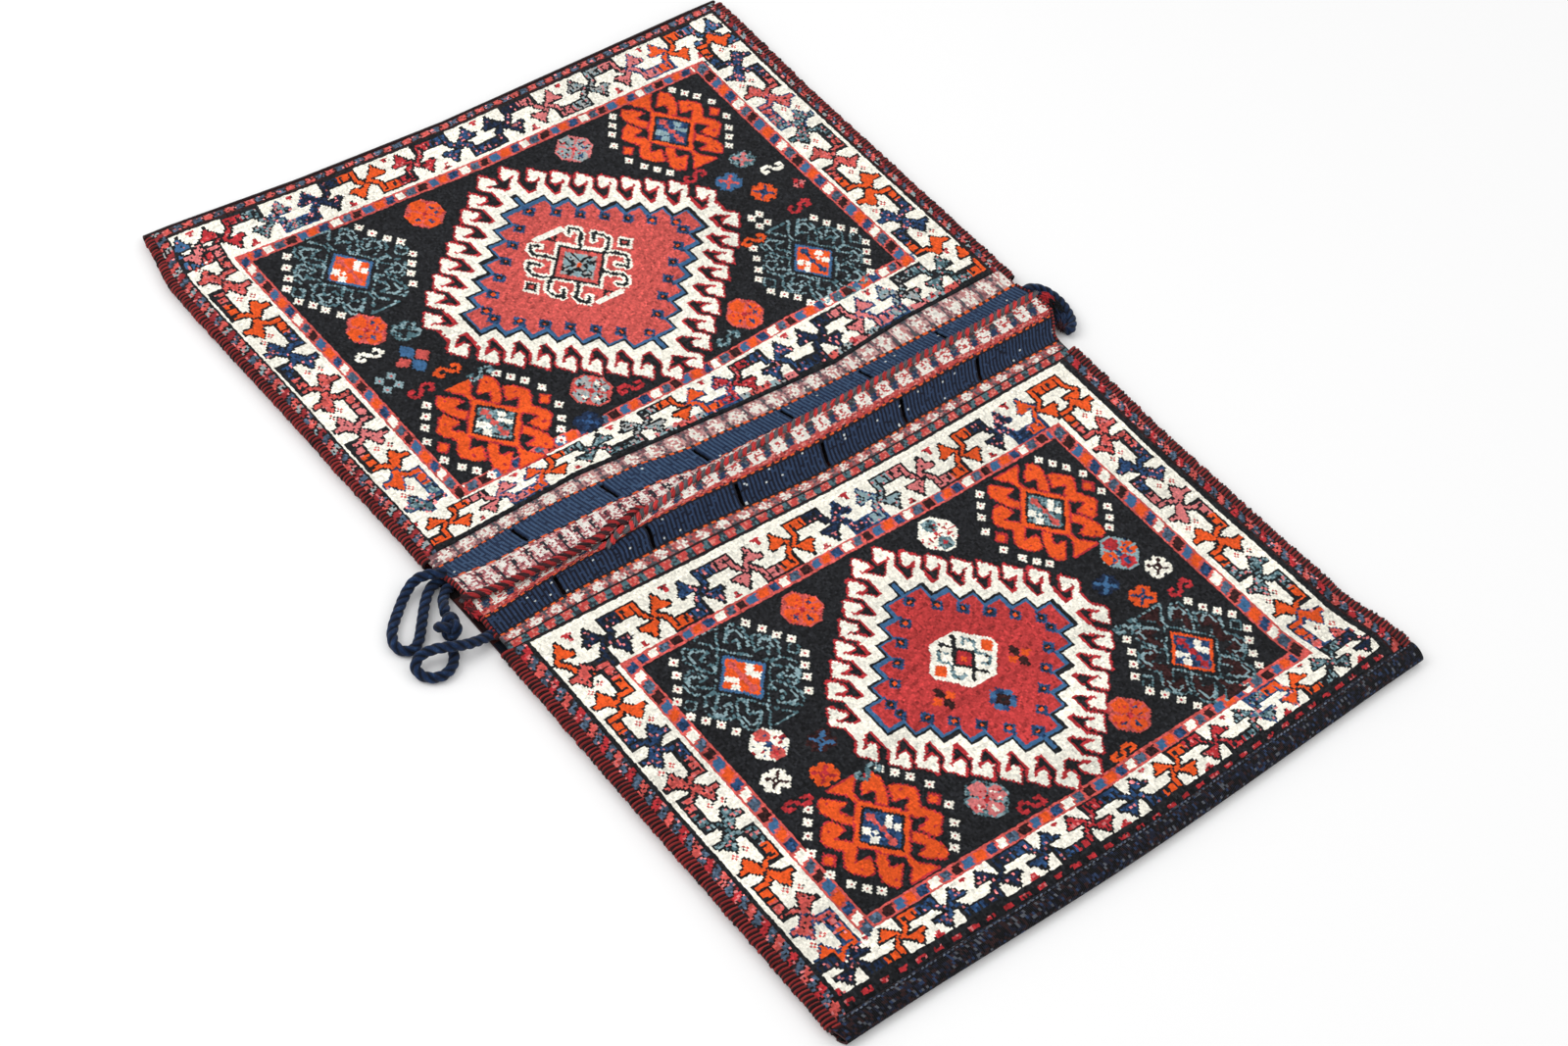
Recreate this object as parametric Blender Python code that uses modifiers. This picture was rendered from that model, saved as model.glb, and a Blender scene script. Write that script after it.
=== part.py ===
"""Woven saddle bag, laid flat: two pouches with knotted-pile faces on one plain-woven back.

Metres, +Z up. X runs across the bag, +Y from the near pouch (B) to the far pouch (A), and the
back lies on Z = 0. Each face carries a thin closing flap past its pouch's mouth; the two flaps
lap over each other above the bridge, A over B on the left and B over A on the right.
"""
import math

import bmesh
import bpy
from mathutils import Vector

# Driving dimensions
BAG_WIDTH = 0.640            # over the side bindings
BAG_LENGTH = 0.941           # over the folded ends
CLEARANCE = 0.0003           # left between touching pieces
BACK_THICKNESS = 0.0025      # plain-woven back and bridge
POUCH_HEIGHT = 0.0050        # room between back and face
PILE_THICKNESS = 0.0045      # knotted face
FLAP_THICKNESS = 0.0025      # flat-woven flap and the strip beside it
BINDING_WIDTH = 0.0095       # overcast side edge
BINDING_ROUND = 0.0040
SOUMAK_STRIP = 0.0125        # flat-woven strip between pile and flap
FAR_FOLD_RADIUS = 0.0045     # outside radius where the back turns up behind face A
NEAR_ROLL_HEIGHT = 0.0115    # back rolled over the near end of pouch B
NEAR_ROLL_WIDTH = 0.0200
BRAID_DIAMETER = 0.0036      # plaited edge of each flap
FLAP_FLARE = 0.0045          # a flap is this much wider than its face on each side
FLAP_LIFT = 0.0040           # upper flap above lower flap
FLAP_STATIONS = 62           # sections across the bag
FLAP_STEPS = 9               # steps from mouth to flap edge

# Where the flaps cross, and how far the lower one runs on under the upper one
CROSSING_X = -0.167
CROSSING_HALF = 0.036        # half width of the stretch where the edges butt
CROSSING_RISE = 0.0016
LAP = 0.015
EDGE_GAP = 0.0007            # between the two braids where they butt

# Slits for the closing loops
SLIT_COUNT = 6
SLIT_PITCH = 0.0902
SLIT_FIRST_X = -0.240
SLIT_WIDTH = 0.0016
SLIT_MARGIN = 0.0015         # from the mouth line to the slit
SLIT_LENGTH = 0.0185

# Lines across the bag, as points (x, y) from left to right
MOUTH_LINE_A = ((-0.320, 0.0365), (-0.200, 0.0415), (-0.125, 0.0385), (-0.056, 0.0290),
                (0.045, 0.0235), (0.228, 0.0235), (0.320, 0.0265))
MOUTH_LINE_B = ((-0.320, -0.0440), (-0.240, -0.0400), (-0.152, -0.0410), (0.022, -0.0510),
                (0.206, -0.0460), (0.320, -0.0450))
MEETING_LINE = ((-0.320, -0.0085), (-0.280, -0.0135), (-0.222, -0.0160), (-0.190, -0.0145),
                (-0.167, -0.0085), (-0.140, -0.0010), (-0.077, 0.0050), (0.074, 0.0080),
                (0.200, 0.0095), (0.320, 0.0125))

# Ropes: points chosen along the real route, in metres
ROPE_DIAMETER = 0.0090
CORNER_LOOP_LEFT = (
    (-0.3152, 0.0290, 0.0144), (-0.3205, 0.0290, 0.0145), (-0.3285, 0.0330, 0.0142),
    (-0.3365, 0.0360, 0.0110), (-0.3445, 0.0345, 0.0075), (-0.3545, 0.0285, 0.0052),
    (-0.3640, 0.0210, 0.0047), (-0.3745, 0.0120, 0.0047), (-0.3820, 0.0030, 0.0047),
    (-0.3850, -0.0065, 0.0047), (-0.3815, -0.0140, 0.0047), (-0.3735, -0.0155, 0.0047),
    (-0.3660, -0.0105, 0.0047), (-0.3595, -0.0035, 0.0047), (-0.3525, 0.0045, 0.0047),
    (-0.3450, 0.0130, 0.0047), (-0.3370, 0.0210, 0.0047), (-0.3290, 0.0268, 0.0048),
    (-0.3210, 0.0288, 0.0048), (-0.3152, 0.0288, 0.0048))
LACING_STRAND = (
    (-0.3152, 0.0186, 0.0052), (-0.3195, 0.0186, 0.0052), (-0.3245, 0.0150, 0.0050),
    (-0.3285, 0.0110, 0.0058), (-0.3318, 0.0060, 0.0080), (-0.3345, 0.0010, 0.0102),
    (-0.3375, -0.0045, 0.0112))
LACING_TAIL = (
    (-0.3477, -0.0279, 0.0080), (-0.3505, -0.0345, 0.0050), (-0.3545, -0.0410, 0.0047),
    (-0.3610, -0.0465, 0.0047), (-0.3700, -0.0490, 0.0047), (-0.3790, -0.0460, 0.0047),
    (-0.3845, -0.0390, 0.0050), (-0.3840, -0.0312, 0.0066), (-0.3770, -0.0272, 0.0098),
    (-0.3680, -0.0290, 0.0132), (-0.3590, -0.0335, 0.0153), (-0.3500, -0.0375, 0.0151),
    (-0.3400, -0.0392, 0.0125), (-0.3300, -0.0392, 0.0097), (-0.3210, -0.0384, 0.0072),
    (-0.3152, -0.0384, 0.0070))
CORNER_LOOP_RIGHT = (
    (0.3152, 0.0185, 0.0085), (0.3205, 0.0185, 0.0085), (0.3275, 0.0160, 0.0074),
    (0.3335, 0.0105, 0.0060), (0.3370, 0.0020, 0.0050), (0.3375, -0.0085, 0.0048),
    (0.3350, -0.0195, 0.0050), (0.3295, -0.0310, 0.0058), (0.3210, -0.0384, 0.0068),
    (0.3152, -0.0384, 0.0070))
KNOT_CENTRE = (-0.3425, -0.0165, 0.0112)
KNOT_RADII = (0.0125, 0.0120, 0.0110)

# Colours, roughness
WOOL_DARK = ((0.035, 0.032, 0.040), 0.95)
WOOL_FIELD = ((0.400, 0.120, 0.100), 0.95)
WOOL_BINDING = ((0.280, 0.060, 0.055), 0.95)
WOOL_BRAID = ((0.380, 0.080, 0.080), 0.95)
WOOL_ROPE = ((0.020, 0.050, 0.130), 0.90)

# Worked out from the driving dimensions
HALF_WIDTH = BAG_WIDTH / 2
HALF_LENGTH = BAG_LENGTH / 2
FACE_HALF = HALF_WIDTH - BINDING_WIDTH - CLEARANCE
FACE_BOTTOM = BACK_THICKNESS + POUCH_HEIGHT
FACE_TOP = FACE_BOTTOM + PILE_THICKNESS
FAR_EDGE_A = HALF_LENGTH - BACK_THICKNESS - CLEARANCE
NEAR_EDGE_B = -HALF_LENGTH + NEAR_ROLL_WIDTH + CLEARANCE


def smooth(t):
    """Ease from 0 to 1."""
    t = min(max(t, 0.0), 1.0)
    return t * t * (3 - 2 * t)


def line_y(points, x):
    """Height of a line across the bag at x, eased from point to point."""
    if x <= points[0][0]:
        return points[0][1]
    for (x0, y0), (x1, y1) in zip(points, points[1:]):
        if x <= x1:
            return y0 + (y1 - y0) * smooth((x - x0) / (x1 - x0))
    return points[-1][1]


def make_material(name, look):
    """Principled wool."""
    colour, roughness = look
    material = bpy.data.materials.new(name)
    material.use_nodes = True
    shader = material.node_tree.nodes["Principled BSDF"]
    shader.inputs["Base Color"].default_value = (*colour, 1.0)
    shader.inputs["Roughness"].default_value = roughness
    shader.inputs["Metallic"].default_value = 0.0
    return material


def add_object(name, data, collection, material=None):
    """Link a new object and give it its material."""
    piece = bpy.data.objects.new(name, data)
    collection.objects.link(piece)
    if material:
        data.materials.append(material)
    return piece


def arc(centre_y, centre_z, radius, start, end, steps):
    """Points of an arc in the YZ plane, angles in degrees from +Y towards +Z."""
    points = []
    for i in range(steps + 1):
        angle = math.radians(start + (end - start) * i / steps)
        points.append((centre_y + radius * math.cos(angle), centre_z + radius * math.sin(angle)))
    return points


def make_back(collection, material):
    """One woven strip: flat underneath, turned up behind face A and rolled over at B's end."""
    half = BACK_THICKNESS / 2
    fold = FAR_FOLD_RADIUS - half
    roll = NEAR_ROLL_HEIGHT / 2 - half
    line = [(-HALF_LENGTH + NEAR_ROLL_WIDTH, NEAR_ROLL_HEIGHT - half)]
    line += arc(-HALF_LENGTH + half + roll, NEAR_ROLL_HEIGHT / 2, roll, 90, 270, 16)
    line += arc(HALF_LENGTH - half - fold, half + fold, fold, -90, 0, 6)
    line.append((HALF_LENGTH - half, FACE_TOP - BACK_THICKNESS / 4))
    mesh = bpy.data.meshes.new("kilim_back")
    shape = bmesh.new()
    row = [shape.verts.new((-FACE_HALF, y, z)) for y, z in line]
    edges = [shape.edges.new(pair) for pair in zip(row, row[1:])]
    swept = bmesh.ops.extrude_edge_only(shape, edges=edges)
    moved = [item for item in swept["geom"] if isinstance(item, bmesh.types.BMVert)]
    bmesh.ops.translate(shape, verts=moved, vec=(2 * FACE_HALF, 0, 0))
    bmesh.ops.recalc_face_normals(shape, faces=shape.faces)
    shape.to_mesh(mesh)
    shape.free()
    piece = add_object("kilim_back", mesh, collection, material)
    shell = piece.modifiers.new("Cloth", "SOLIDIFY")
    shell.thickness = BACK_THICKNESS
    shell.offset = 0.0
    shell.use_even_offset = True
    return piece


def crossing_distance(x):
    """Distance from the place where the flap edges cross."""
    return abs(x - CROSSING_X)


def flap_edge(bag, x):
    """Outer edge of a bag's flap, braid included."""
    meeting = line_y(MEETING_LINE, x)
    a_is_upper = x < CROSSING_X
    lap = -EDGE_GAP + (LAP + EDGE_GAP) * smooth((crossing_distance(x) - CROSSING_HALF) / 0.045)
    if bag == "a":
        return meeting if a_is_upper else meeting - lap
    return meeting + lap if a_is_upper else meeting


def flap_bottom(bag, x):
    """Underside height of a bag's flap near its edge."""
    upper = (bag == "a") == (x < CROSSING_X)
    apart = smooth(crossing_distance(x) / CROSSING_HALF)
    middle = FACE_BOTTOM + FLAP_LIFT / 2 + CROSSING_RISE * (1 - apart)
    step = FLAP_LIFT / 2 * apart
    return middle + step if upper else middle - step


def face_section(bag, fraction):
    """Closed YZ profile of a face and its flap at one station across the bag."""
    x = fraction * FACE_HALF
    side = 1 if bag == "a" else -1
    end = FAR_EDGE_A if bag == "a" else NEAR_EDGE_B
    mouth = line_y(MOUTH_LINE_A if bag == "a" else MOUTH_LINE_B, fraction * HALF_WIDTH)
    mouth -= side * CLEARANCE
    edge = flap_edge(bag, x) + side * (BRAID_DIAMETER + CLEARANCE)
    lift = flap_bottom(bag, x) - FACE_BOTTOM
    pile_end = mouth + side * SOUMAK_STRIP
    top = [(x, end, FACE_TOP), (x, pile_end, FACE_TOP),
           (x, pile_end - side * 0.002, FACE_BOTTOM + FLAP_THICKNESS),
           (x, mouth, FACE_BOTTOM + FLAP_THICKNESS)]
    bottom = [(x, y, FACE_BOTTOM) for _, y, _ in top]
    for i in range(1, FLAP_STEPS + 1):
        along = i / FLAP_STEPS
        wide = fraction * (FACE_HALF + FLAP_FLARE)
        y = mouth + (edge - mouth) * along
        z = FACE_BOTTOM + lift * smooth(along / 0.6)
        top.append((wide, y, z + FLAP_THICKNESS))
        bottom.append((wide, y, z))
    return [Vector(point) for point in top + bottom[::-1]]


def make_face(bag, collection, material, cutters):
    """Pile face with its narrow woven strip and slit flap, lofted from section to section."""
    name = f"pile_face_{bag}"
    mesh = bpy.data.meshes.new(name)
    shape = bmesh.new()
    loops = []
    for i in range(FLAP_STATIONS + 1):
        fraction = -1 + 2 * i / FLAP_STATIONS
        loops.append([shape.verts.new(point) for point in face_section(bag, fraction)])
    for near, far in zip(loops, loops[1:]):
        for i, corner in enumerate(near):
            j = (i + 1) % len(near)
            shape.faces.new((corner, near[j], far[j], far[i]))
    count = len(loops[0])
    for loop in (loops[0], loops[-1]):
        for i in range(count // 2 - 1):
            shape.faces.new((loop[i], loop[i + 1], loop[count - 2 - i], loop[count - 1 - i]))
    bmesh.ops.recalc_face_normals(shape, faces=shape.faces)
    shape.to_mesh(mesh)
    shape.free()
    piece = add_object(name, mesh, collection, material)

    slits = bmesh.new()
    side = 1 if bag == "a" else -1
    for i in range(SLIT_COUNT):
        x = SLIT_FIRST_X + i * SLIT_PITCH
        mouth = line_y(MOUTH_LINE_A if bag == "a" else MOUTH_LINE_B, x)
        made = bmesh.ops.create_cube(slits, size=1.0)
        bmesh.ops.scale(slits, verts=made["verts"], vec=(SLIT_WIDTH, SLIT_LENGTH, FACE_TOP))
        centre = mouth - side * (SLIT_MARGIN + SLIT_LENGTH / 2)
        bmesh.ops.translate(slits, verts=made["verts"], vec=(x, centre, FACE_TOP))
    cutter_mesh = bpy.data.meshes.new(f"slits_{bag}")
    slits.to_mesh(cutter_mesh)
    slits.free()
    cutter = add_object(f"slits_{bag}", cutter_mesh, cutters)
    cutter.hide_render = True
    cutter.display_type = "WIRE"
    cut = piece.modifiers.new("Slits", "BOOLEAN")
    cut.operation = "DIFFERENCE"
    cut.object = cutter
    return piece


def make_binding(bag, side_name, collection, material):
    """Overcast edge that closes one side of one pouch."""
    side = -1 if side_name == "left" else 1
    line = MOUTH_LINE_A if bag == "a" else MOUTH_LINE_B
    start = line_y(line, side * HALF_WIDTH)
    end = HALF_LENGTH if bag == "a" else -HALF_LENGTH
    centre = (side * (HALF_WIDTH - BINDING_WIDTH / 2), (start + end) / 2, FACE_TOP / 2)
    bpy.ops.mesh.primitive_cube_add(size=1.0, location=centre)
    piece = bpy.context.object
    piece.name = f"side_binding_{bag}_{side_name}"
    piece.scale = (BINDING_WIDTH, abs(end - start), FACE_TOP)
    bpy.ops.object.transform_apply(location=False, rotation=False, scale=True)
    piece.data.materials.append(material)
    for owner in piece.users_collection:
        owner.objects.unlink(piece)
    collection.objects.link(piece)
    rounding = piece.modifiers.new("Round", "BEVEL")
    rounding.width = BINDING_ROUND
    rounding.segments = 4
    return piece


def smooth_route(points, steps):
    """Catmull-Rom curve through the points of a rope's route."""
    route = [Vector(point) for point in points]
    padded = [route[0] * 2 - route[1]] + route + [route[-1] * 2 - route[-2]]
    out = []
    for a, b, c, d in zip(padded, padded[1:], padded[2:], padded[3:]):
        for i in range(steps):
            t = i / steps
            out.append(0.5 * (2 * b + (c - a) * t + (2 * a - 5 * b + 4 * c - d) * t * t
                              + (3 * b - a - 3 * c + d) * t ** 3))
    out.append(route[-1])
    return out


def make_tube(name, points, diameter, collection, material):
    """Round tube with closed ends along a list of points."""
    curve = bpy.data.curves.new(name, "CURVE")
    curve.dimensions = "3D"
    curve.bevel_depth = diameter / 2
    curve.bevel_resolution = 3
    curve.use_fill_caps = True
    spline = curve.splines.new("POLY")
    spline.points.add(len(points) - 1)
    for target, point in zip(spline.points, points):
        target.co = (*point, 1.0)
    return add_object(name, curve, collection, material)


def make_braid(bag, collection, material):
    """Plaited edge along the free side of a flap."""
    side = 1 if bag == "a" else -1
    points = []
    for i in range(FLAP_STATIONS + 1):
        fraction = -1 + 2 * i / FLAP_STATIONS
        x = fraction * FACE_HALF
        wide = fraction * (FACE_HALF + FLAP_FLARE)
        y = flap_edge(bag, x) + side * BRAID_DIAMETER / 2
        points.append((wide, y, flap_bottom(bag, x) + FLAP_THICKNESS / 2))
    return make_tube(f"mouth_braid_{bag}", points, BRAID_DIAMETER, collection, material)


def make_knot(collection, material):
    """Bulky knot that joins the lacing rope's two strands."""
    bpy.ops.mesh.primitive_uv_sphere_add(segments=24, ring_count=14, radius=1.0)
    piece = bpy.context.object
    piece.name = "lacing_knot"
    piece.scale = KNOT_RADII
    bpy.ops.object.transform_apply(location=False, rotation=False, scale=True)
    piece.location = KNOT_CENTRE
    piece.data.materials.append(material)
    piece.data.shade_smooth()
    for owner in piece.users_collection:
        owner.objects.unlink(piece)
    collection.objects.link(piece)
    return piece


def main():
    for old in list(bpy.data.objects):
        bpy.data.objects.remove(old)
    parts = bpy.data.collections.new("saddle_bag")
    cutters = bpy.data.collections.new("cutters")
    bpy.context.scene.collection.children.link(parts)
    bpy.context.scene.collection.children.link(cutters)

    dark = make_material("back_wool", WOOL_DARK)
    field = make_material("pile_wool", WOOL_FIELD)
    binding = make_material("binding_wool", WOOL_BINDING)
    braid = make_material("braid_wool", WOOL_BRAID)
    rope = make_material("rope_wool", WOOL_ROPE)

    make_back(parts, dark)
    for bag in ("a", "b"):
        make_face(bag, parts, field, cutters)
        make_braid(bag, parts, braid)
        for side_name in ("left", "right"):
            make_binding(bag, side_name, parts, binding)
    make_tube("corner_loop_left", smooth_route(CORNER_LOOP_LEFT, 3), ROPE_DIAMETER, parts, rope)
    make_tube("lacing_strand", smooth_route(LACING_STRAND, 3), ROPE_DIAMETER, parts, rope)
    make_tube("lacing_tail", smooth_route(LACING_TAIL, 3), ROPE_DIAMETER, parts, rope)
    make_tube("corner_loop_right", smooth_route(CORNER_LOOP_RIGHT, 3), ROPE_DIAMETER, parts, rope)
    make_knot(parts, rope)


main()
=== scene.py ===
import math

import bpy
import numpy as np
from mathutils import Matrix, Vector


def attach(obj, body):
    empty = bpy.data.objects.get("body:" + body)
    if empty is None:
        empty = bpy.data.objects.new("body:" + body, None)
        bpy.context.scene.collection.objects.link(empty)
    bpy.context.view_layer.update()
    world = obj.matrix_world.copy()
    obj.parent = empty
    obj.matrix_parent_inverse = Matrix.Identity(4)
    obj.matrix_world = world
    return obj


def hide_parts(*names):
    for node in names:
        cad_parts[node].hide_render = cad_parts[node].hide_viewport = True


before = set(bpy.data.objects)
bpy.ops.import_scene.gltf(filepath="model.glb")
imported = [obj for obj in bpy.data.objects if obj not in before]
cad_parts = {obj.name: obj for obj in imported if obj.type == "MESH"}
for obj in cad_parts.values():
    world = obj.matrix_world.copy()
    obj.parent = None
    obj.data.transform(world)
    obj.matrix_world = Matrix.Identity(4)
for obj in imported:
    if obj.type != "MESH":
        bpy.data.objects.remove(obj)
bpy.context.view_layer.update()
scene = bpy.context.scene

# The camera
# It stands where the photograph was taken from, low over the near left corner of the bag, and is
# turned a little on its own axis so that the far edge climbs to the right.
CAMERA_PLACE = Vector((-1.18528, -1.03428, 1.71493))
CAMERA_RIGHT = Vector((0.76116, -0.63024, 0.15305))
CAMERA_UP = Vector((0.41026, 0.65066, 0.63900))
CAMERA_LOOK = Vector((0.50231, 0.42359, -0.75382))
CAMERA_LENS = 63.087

camera_data = bpy.data.cameras.new("camera")
camera_data.sensor_width = 36.0
camera_data.lens = CAMERA_LENS
camera_data.clip_start, camera_data.clip_end = 0.05, 30.0
camera = bpy.data.objects.new("camera", camera_data)
rows = [(CAMERA_RIGHT[i], CAMERA_UP[i], -CAMERA_LOOK[i], CAMERA_PLACE[i]) for i in range(3)]
camera.matrix_world = Matrix((*rows, (0.0, 0.0, 0.0, 1.0)))
scene.collection.objects.link(camera)
scene.camera = camera

# The corner ropes and the knot
# Navy wool rope of three laid strands, 9 mm through. One loop joins the two pouch corners at the
# right. At the left a loop of the far pouch and the lacing of the near pouch are tied in a knot.
ROPE_DIAMETER = 0.0090
ROPE_LAY = 0.0240
ROPE_NAVY = (20, 38, 68)
ROPE_DARK = (7, 11, 22)
# The lightest rope colour is a painted highlight, spread over the rope by fibre noise.
ROPE_HIGHLIGHT = (66, 104, 150)
ROPE_GROOVE = 0.28
ROPE_STEP = 0.0011
CORNER_LOOP_LEFT = (
    (-0.3152, 0.0290, 0.0144), (-0.3205, 0.0290, 0.0145), (-0.3285, 0.0330, 0.0142),
    (-0.3365, 0.0360, 0.0110), (-0.3445, 0.0345, 0.0075), (-0.3545, 0.0285, 0.0052),
    (-0.3640, 0.0210, 0.0047), (-0.3745, 0.0120, 0.0047), (-0.3820, 0.0030, 0.0047),
    (-0.3850, -0.0065, 0.0047), (-0.3815, -0.0140, 0.0047), (-0.3735, -0.0155, 0.0047),
    (-0.3660, -0.0105, 0.0047), (-0.3595, -0.0035, 0.0047), (-0.3525, 0.0045, 0.0047),
    (-0.3450, 0.0130, 0.0047), (-0.3370, 0.0210, 0.0047), (-0.3290, 0.0268, 0.0048),
    (-0.3210, 0.0288, 0.0048), (-0.3152, 0.0288, 0.0048),
)
LACING_STRAND = (
    (-0.3152, 0.0186, 0.0052), (-0.3195, 0.0186, 0.0052), (-0.3245, 0.0150, 0.0050),
    (-0.3285, 0.0110, 0.0058), (-0.3318, 0.0060, 0.0080), (-0.3345, 0.0010, 0.0102),
    (-0.3375, -0.0045, 0.0112),
)
LACING_TAIL = (
    (-0.3477, -0.0279, 0.0080), (-0.3505, -0.0345, 0.0050), (-0.3545, -0.0410, 0.0047),
    (-0.3610, -0.0465, 0.0047), (-0.3700, -0.0490, 0.0047), (-0.3790, -0.0460, 0.0047),
    (-0.3845, -0.0390, 0.0050), (-0.3840, -0.0312, 0.0066), (-0.3770, -0.0272, 0.0098),
    (-0.3680, -0.0290, 0.0132), (-0.3590, -0.0335, 0.0153), (-0.3500, -0.0375, 0.0151),
    (-0.3400, -0.0392, 0.0125), (-0.3300, -0.0392, 0.0097), (-0.3210, -0.0384, 0.0072),
    (-0.3152, -0.0384, 0.0070),
)
CORNER_LOOP_RIGHT = (
    (0.3152, 0.0185, 0.0085), (0.3205, 0.0185, 0.0085), (0.3275, 0.0160, 0.0074),
    (0.3335, 0.0105, 0.0060), (0.3370, 0.0020, 0.0050), (0.3375, -0.0085, 0.0048),
    (0.3350, -0.0195, 0.0050), (0.3295, -0.0310, 0.0058), (0.3210, -0.0384, 0.0068),
    (0.3152, -0.0384, 0.0070),
)
KNOT_CENTRE = (-0.3425, -0.0165, 0.0112)
KNOT_SIZE, KNOT_RISE, KNOT_RADIUS = 0.0027, 1.15, 0.0044


def linear(colour):
    """A colour written in 0 to 255, as the shader takes it."""
    steps = np.asarray(colour, float) / 255.0
    flat = np.where(steps <= 0.04045, steps / 12.92, ((steps + 0.055) / 1.055) ** 2.4)
    return np.concatenate([flat, np.ones(flat.shape[:-1] + (1,))], axis=-1)


def through(points, steps):
    """A smooth line through the points, with so many steps between each two."""
    p = np.asarray(points, float)
    p = np.vstack([2 * p[0] - p[1], p, 2 * p[-1] - p[-2]])
    line = []
    for i in range(1, len(p) - 2):
        for t in np.arange(steps) / steps:
            line.append(0.5 * (2 * p[i] + (p[i + 1] - p[i - 1]) * t
                               + (2 * p[i - 1] - 5 * p[i] + 4 * p[i + 1] - p[i + 2]) * t * t
                               + (3 * p[i] - p[i - 1] - 3 * p[i + 1] + p[i + 2]) * t ** 3))
    return np.array([*line, p[-2]])


def even(line, pitch, closed=False):
    """The same line with its points a pitch apart."""
    if closed:
        line = np.vstack([line, line[:1]])
    far = np.concatenate([[0.0], np.cumsum(np.linalg.norm(np.diff(line, axis=0), axis=1))])
    count = max(2, int(round(far[-1] / pitch)))
    at = np.linspace(0.0, far[-1], count + 1)[: count if closed else count + 1]
    return np.stack([np.interp(at, far, line[:, i]) for i in range(3)], axis=1), far[-1]


def piece(name, places, faces, material=None, paint=None, uv=None, smooth=True):
    """A mesh of the given places and faces, its yarn colours one for each face."""
    mesh = bpy.data.meshes.new(name)
    mesh.from_pydata(np.asarray(places, float).tolist(), [], faces)
    mesh.polygons.foreach_set("use_smooth", np.full(len(faces), smooth))
    turns = np.array([len(f) for f in faces])
    if paint is not None:
        layer = mesh.color_attributes.new("yarn", "FLOAT_COLOR", "CORNER")
        layer.data.foreach_set("color", np.repeat(np.asarray(paint, float), turns, axis=0).ravel())
    if uv is not None:
        corners = np.zeros(len(mesh.loops), int)
        mesh.loops.foreach_get("vertex_index", corners)
        layer = mesh.uv_layers.new(name="lay")
        layer.data.foreach_set("uv", np.asarray(uv, float)[corners].ravel())
    mesh.update()
    thing = bpy.data.objects.new(name, mesh)
    scene.collection.objects.link(thing)
    if material is not None:
        mesh.materials.append(material)
    return thing


def laid_rope(name, line, radius, lay, closed=False, around=24):
    """A rope of three strands laid round each other, on an even line of points."""
    count = len(line)
    if closed:
        ahead = np.roll(line, -1, axis=0) - np.roll(line, 1, axis=0)
    else:
        ahead = np.gradient(line, axis=0)
    ahead /= np.linalg.norm(ahead, axis=1)[:, None]
    side = np.cross(ahead[0], (0.0, 0.0, 1.0))
    side /= np.linalg.norm(side)
    sides = []
    for direction in ahead:
        side = side - direction * np.dot(side, direction)
        side /= np.linalg.norm(side)
        sides.append(side.copy())
    sides = np.array(sides)
    ups = np.cross(ahead, sides)
    run = np.concatenate([[0.0], np.cumsum(np.linalg.norm(np.diff(line, axis=0), axis=1))])
    turn = np.linspace(0.0, 2 * math.pi, around, endpoint=False)
    whole = run[-1] / lay
    if closed:
        run = run * (round(whole * 3) / 3) / whole * (count / (count + 1.0))
    phase = turn[None, :] - 2 * math.pi * run[:, None] / lay
    out = radius * (1 - ROPE_GROOVE + ROPE_GROOVE * np.abs(np.cos(1.5 * phase)) ** 0.6)
    places = (line[:, None, :] + sides[:, None, :] * (np.cos(turn)[None, :] * out)[:, :, None]
              + ups[:, None, :] * (np.sin(turn)[None, :] * out)[:, :, None]).reshape(-1, 3)
    uv = np.stack([phase / (2 * math.pi) * 3.0, np.repeat(run[:, None] * 100.0, around, 1)], -1)
    faces, last = [], count if closed else count - 1
    for i in range(last):
        a, b = i * around, ((i + 1) % count) * around
        for j in range(around):
            k = (j + 1) % around
            faces.append((a + j, a + k, b + k, b + j))
    places, uv = list(places), list(uv.reshape(-1, 2))
    if not closed:
        for ring, centre, flip in ((0, line[0], True), ((count - 1) * around, line[-1], False)):
            places.append(centre)
            uv.append((0.0, 0.0))
            for j in range(around):
                k = (j + 1) % around
                edge = (ring + k, ring + j) if flip else (ring + j, ring + k)
                faces.append((*edge, len(places) - 1))
    return piece(name, places, faces, uv=uv)


def node(tree, kind, **facts):
    """A shader or geometry node with its settings and its sockets' values."""
    made = tree.nodes.new(kind)
    for key, value in facts.items():
        if key in made.bl_rna.properties:
            setattr(made, key, value)
        else:
            made.inputs[key.replace("_", " ")].default_value = value
    return made


def woollen(name, roughness=0.9, sheen=0.06):
    """An empty wool finish: its nodes, its shader and its object coordinates."""
    material = bpy.data.materials.new(name)
    material.use_nodes = True
    tree = material.node_tree
    tree.nodes.clear()
    shader = node(tree, "ShaderNodeBsdfPrincipled", Roughness=roughness)
    shader.inputs["Sheen Weight"].default_value = sheen
    shader.inputs["Sheen Roughness"].default_value = 0.55
    shader.inputs["Specular IOR Level"].default_value = 0.10
    out = node(tree, "ShaderNodeOutputMaterial")
    tree.links.new(shader.outputs[0], out.inputs[0])
    coords = node(tree, "ShaderNodeTexCoord")
    return material, tree, shader, coords


def join(tree, *pairs):
    """Links sockets, each pair from the first to the second."""
    for start, end in pairs:
        tree.links.new(start, end)


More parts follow.
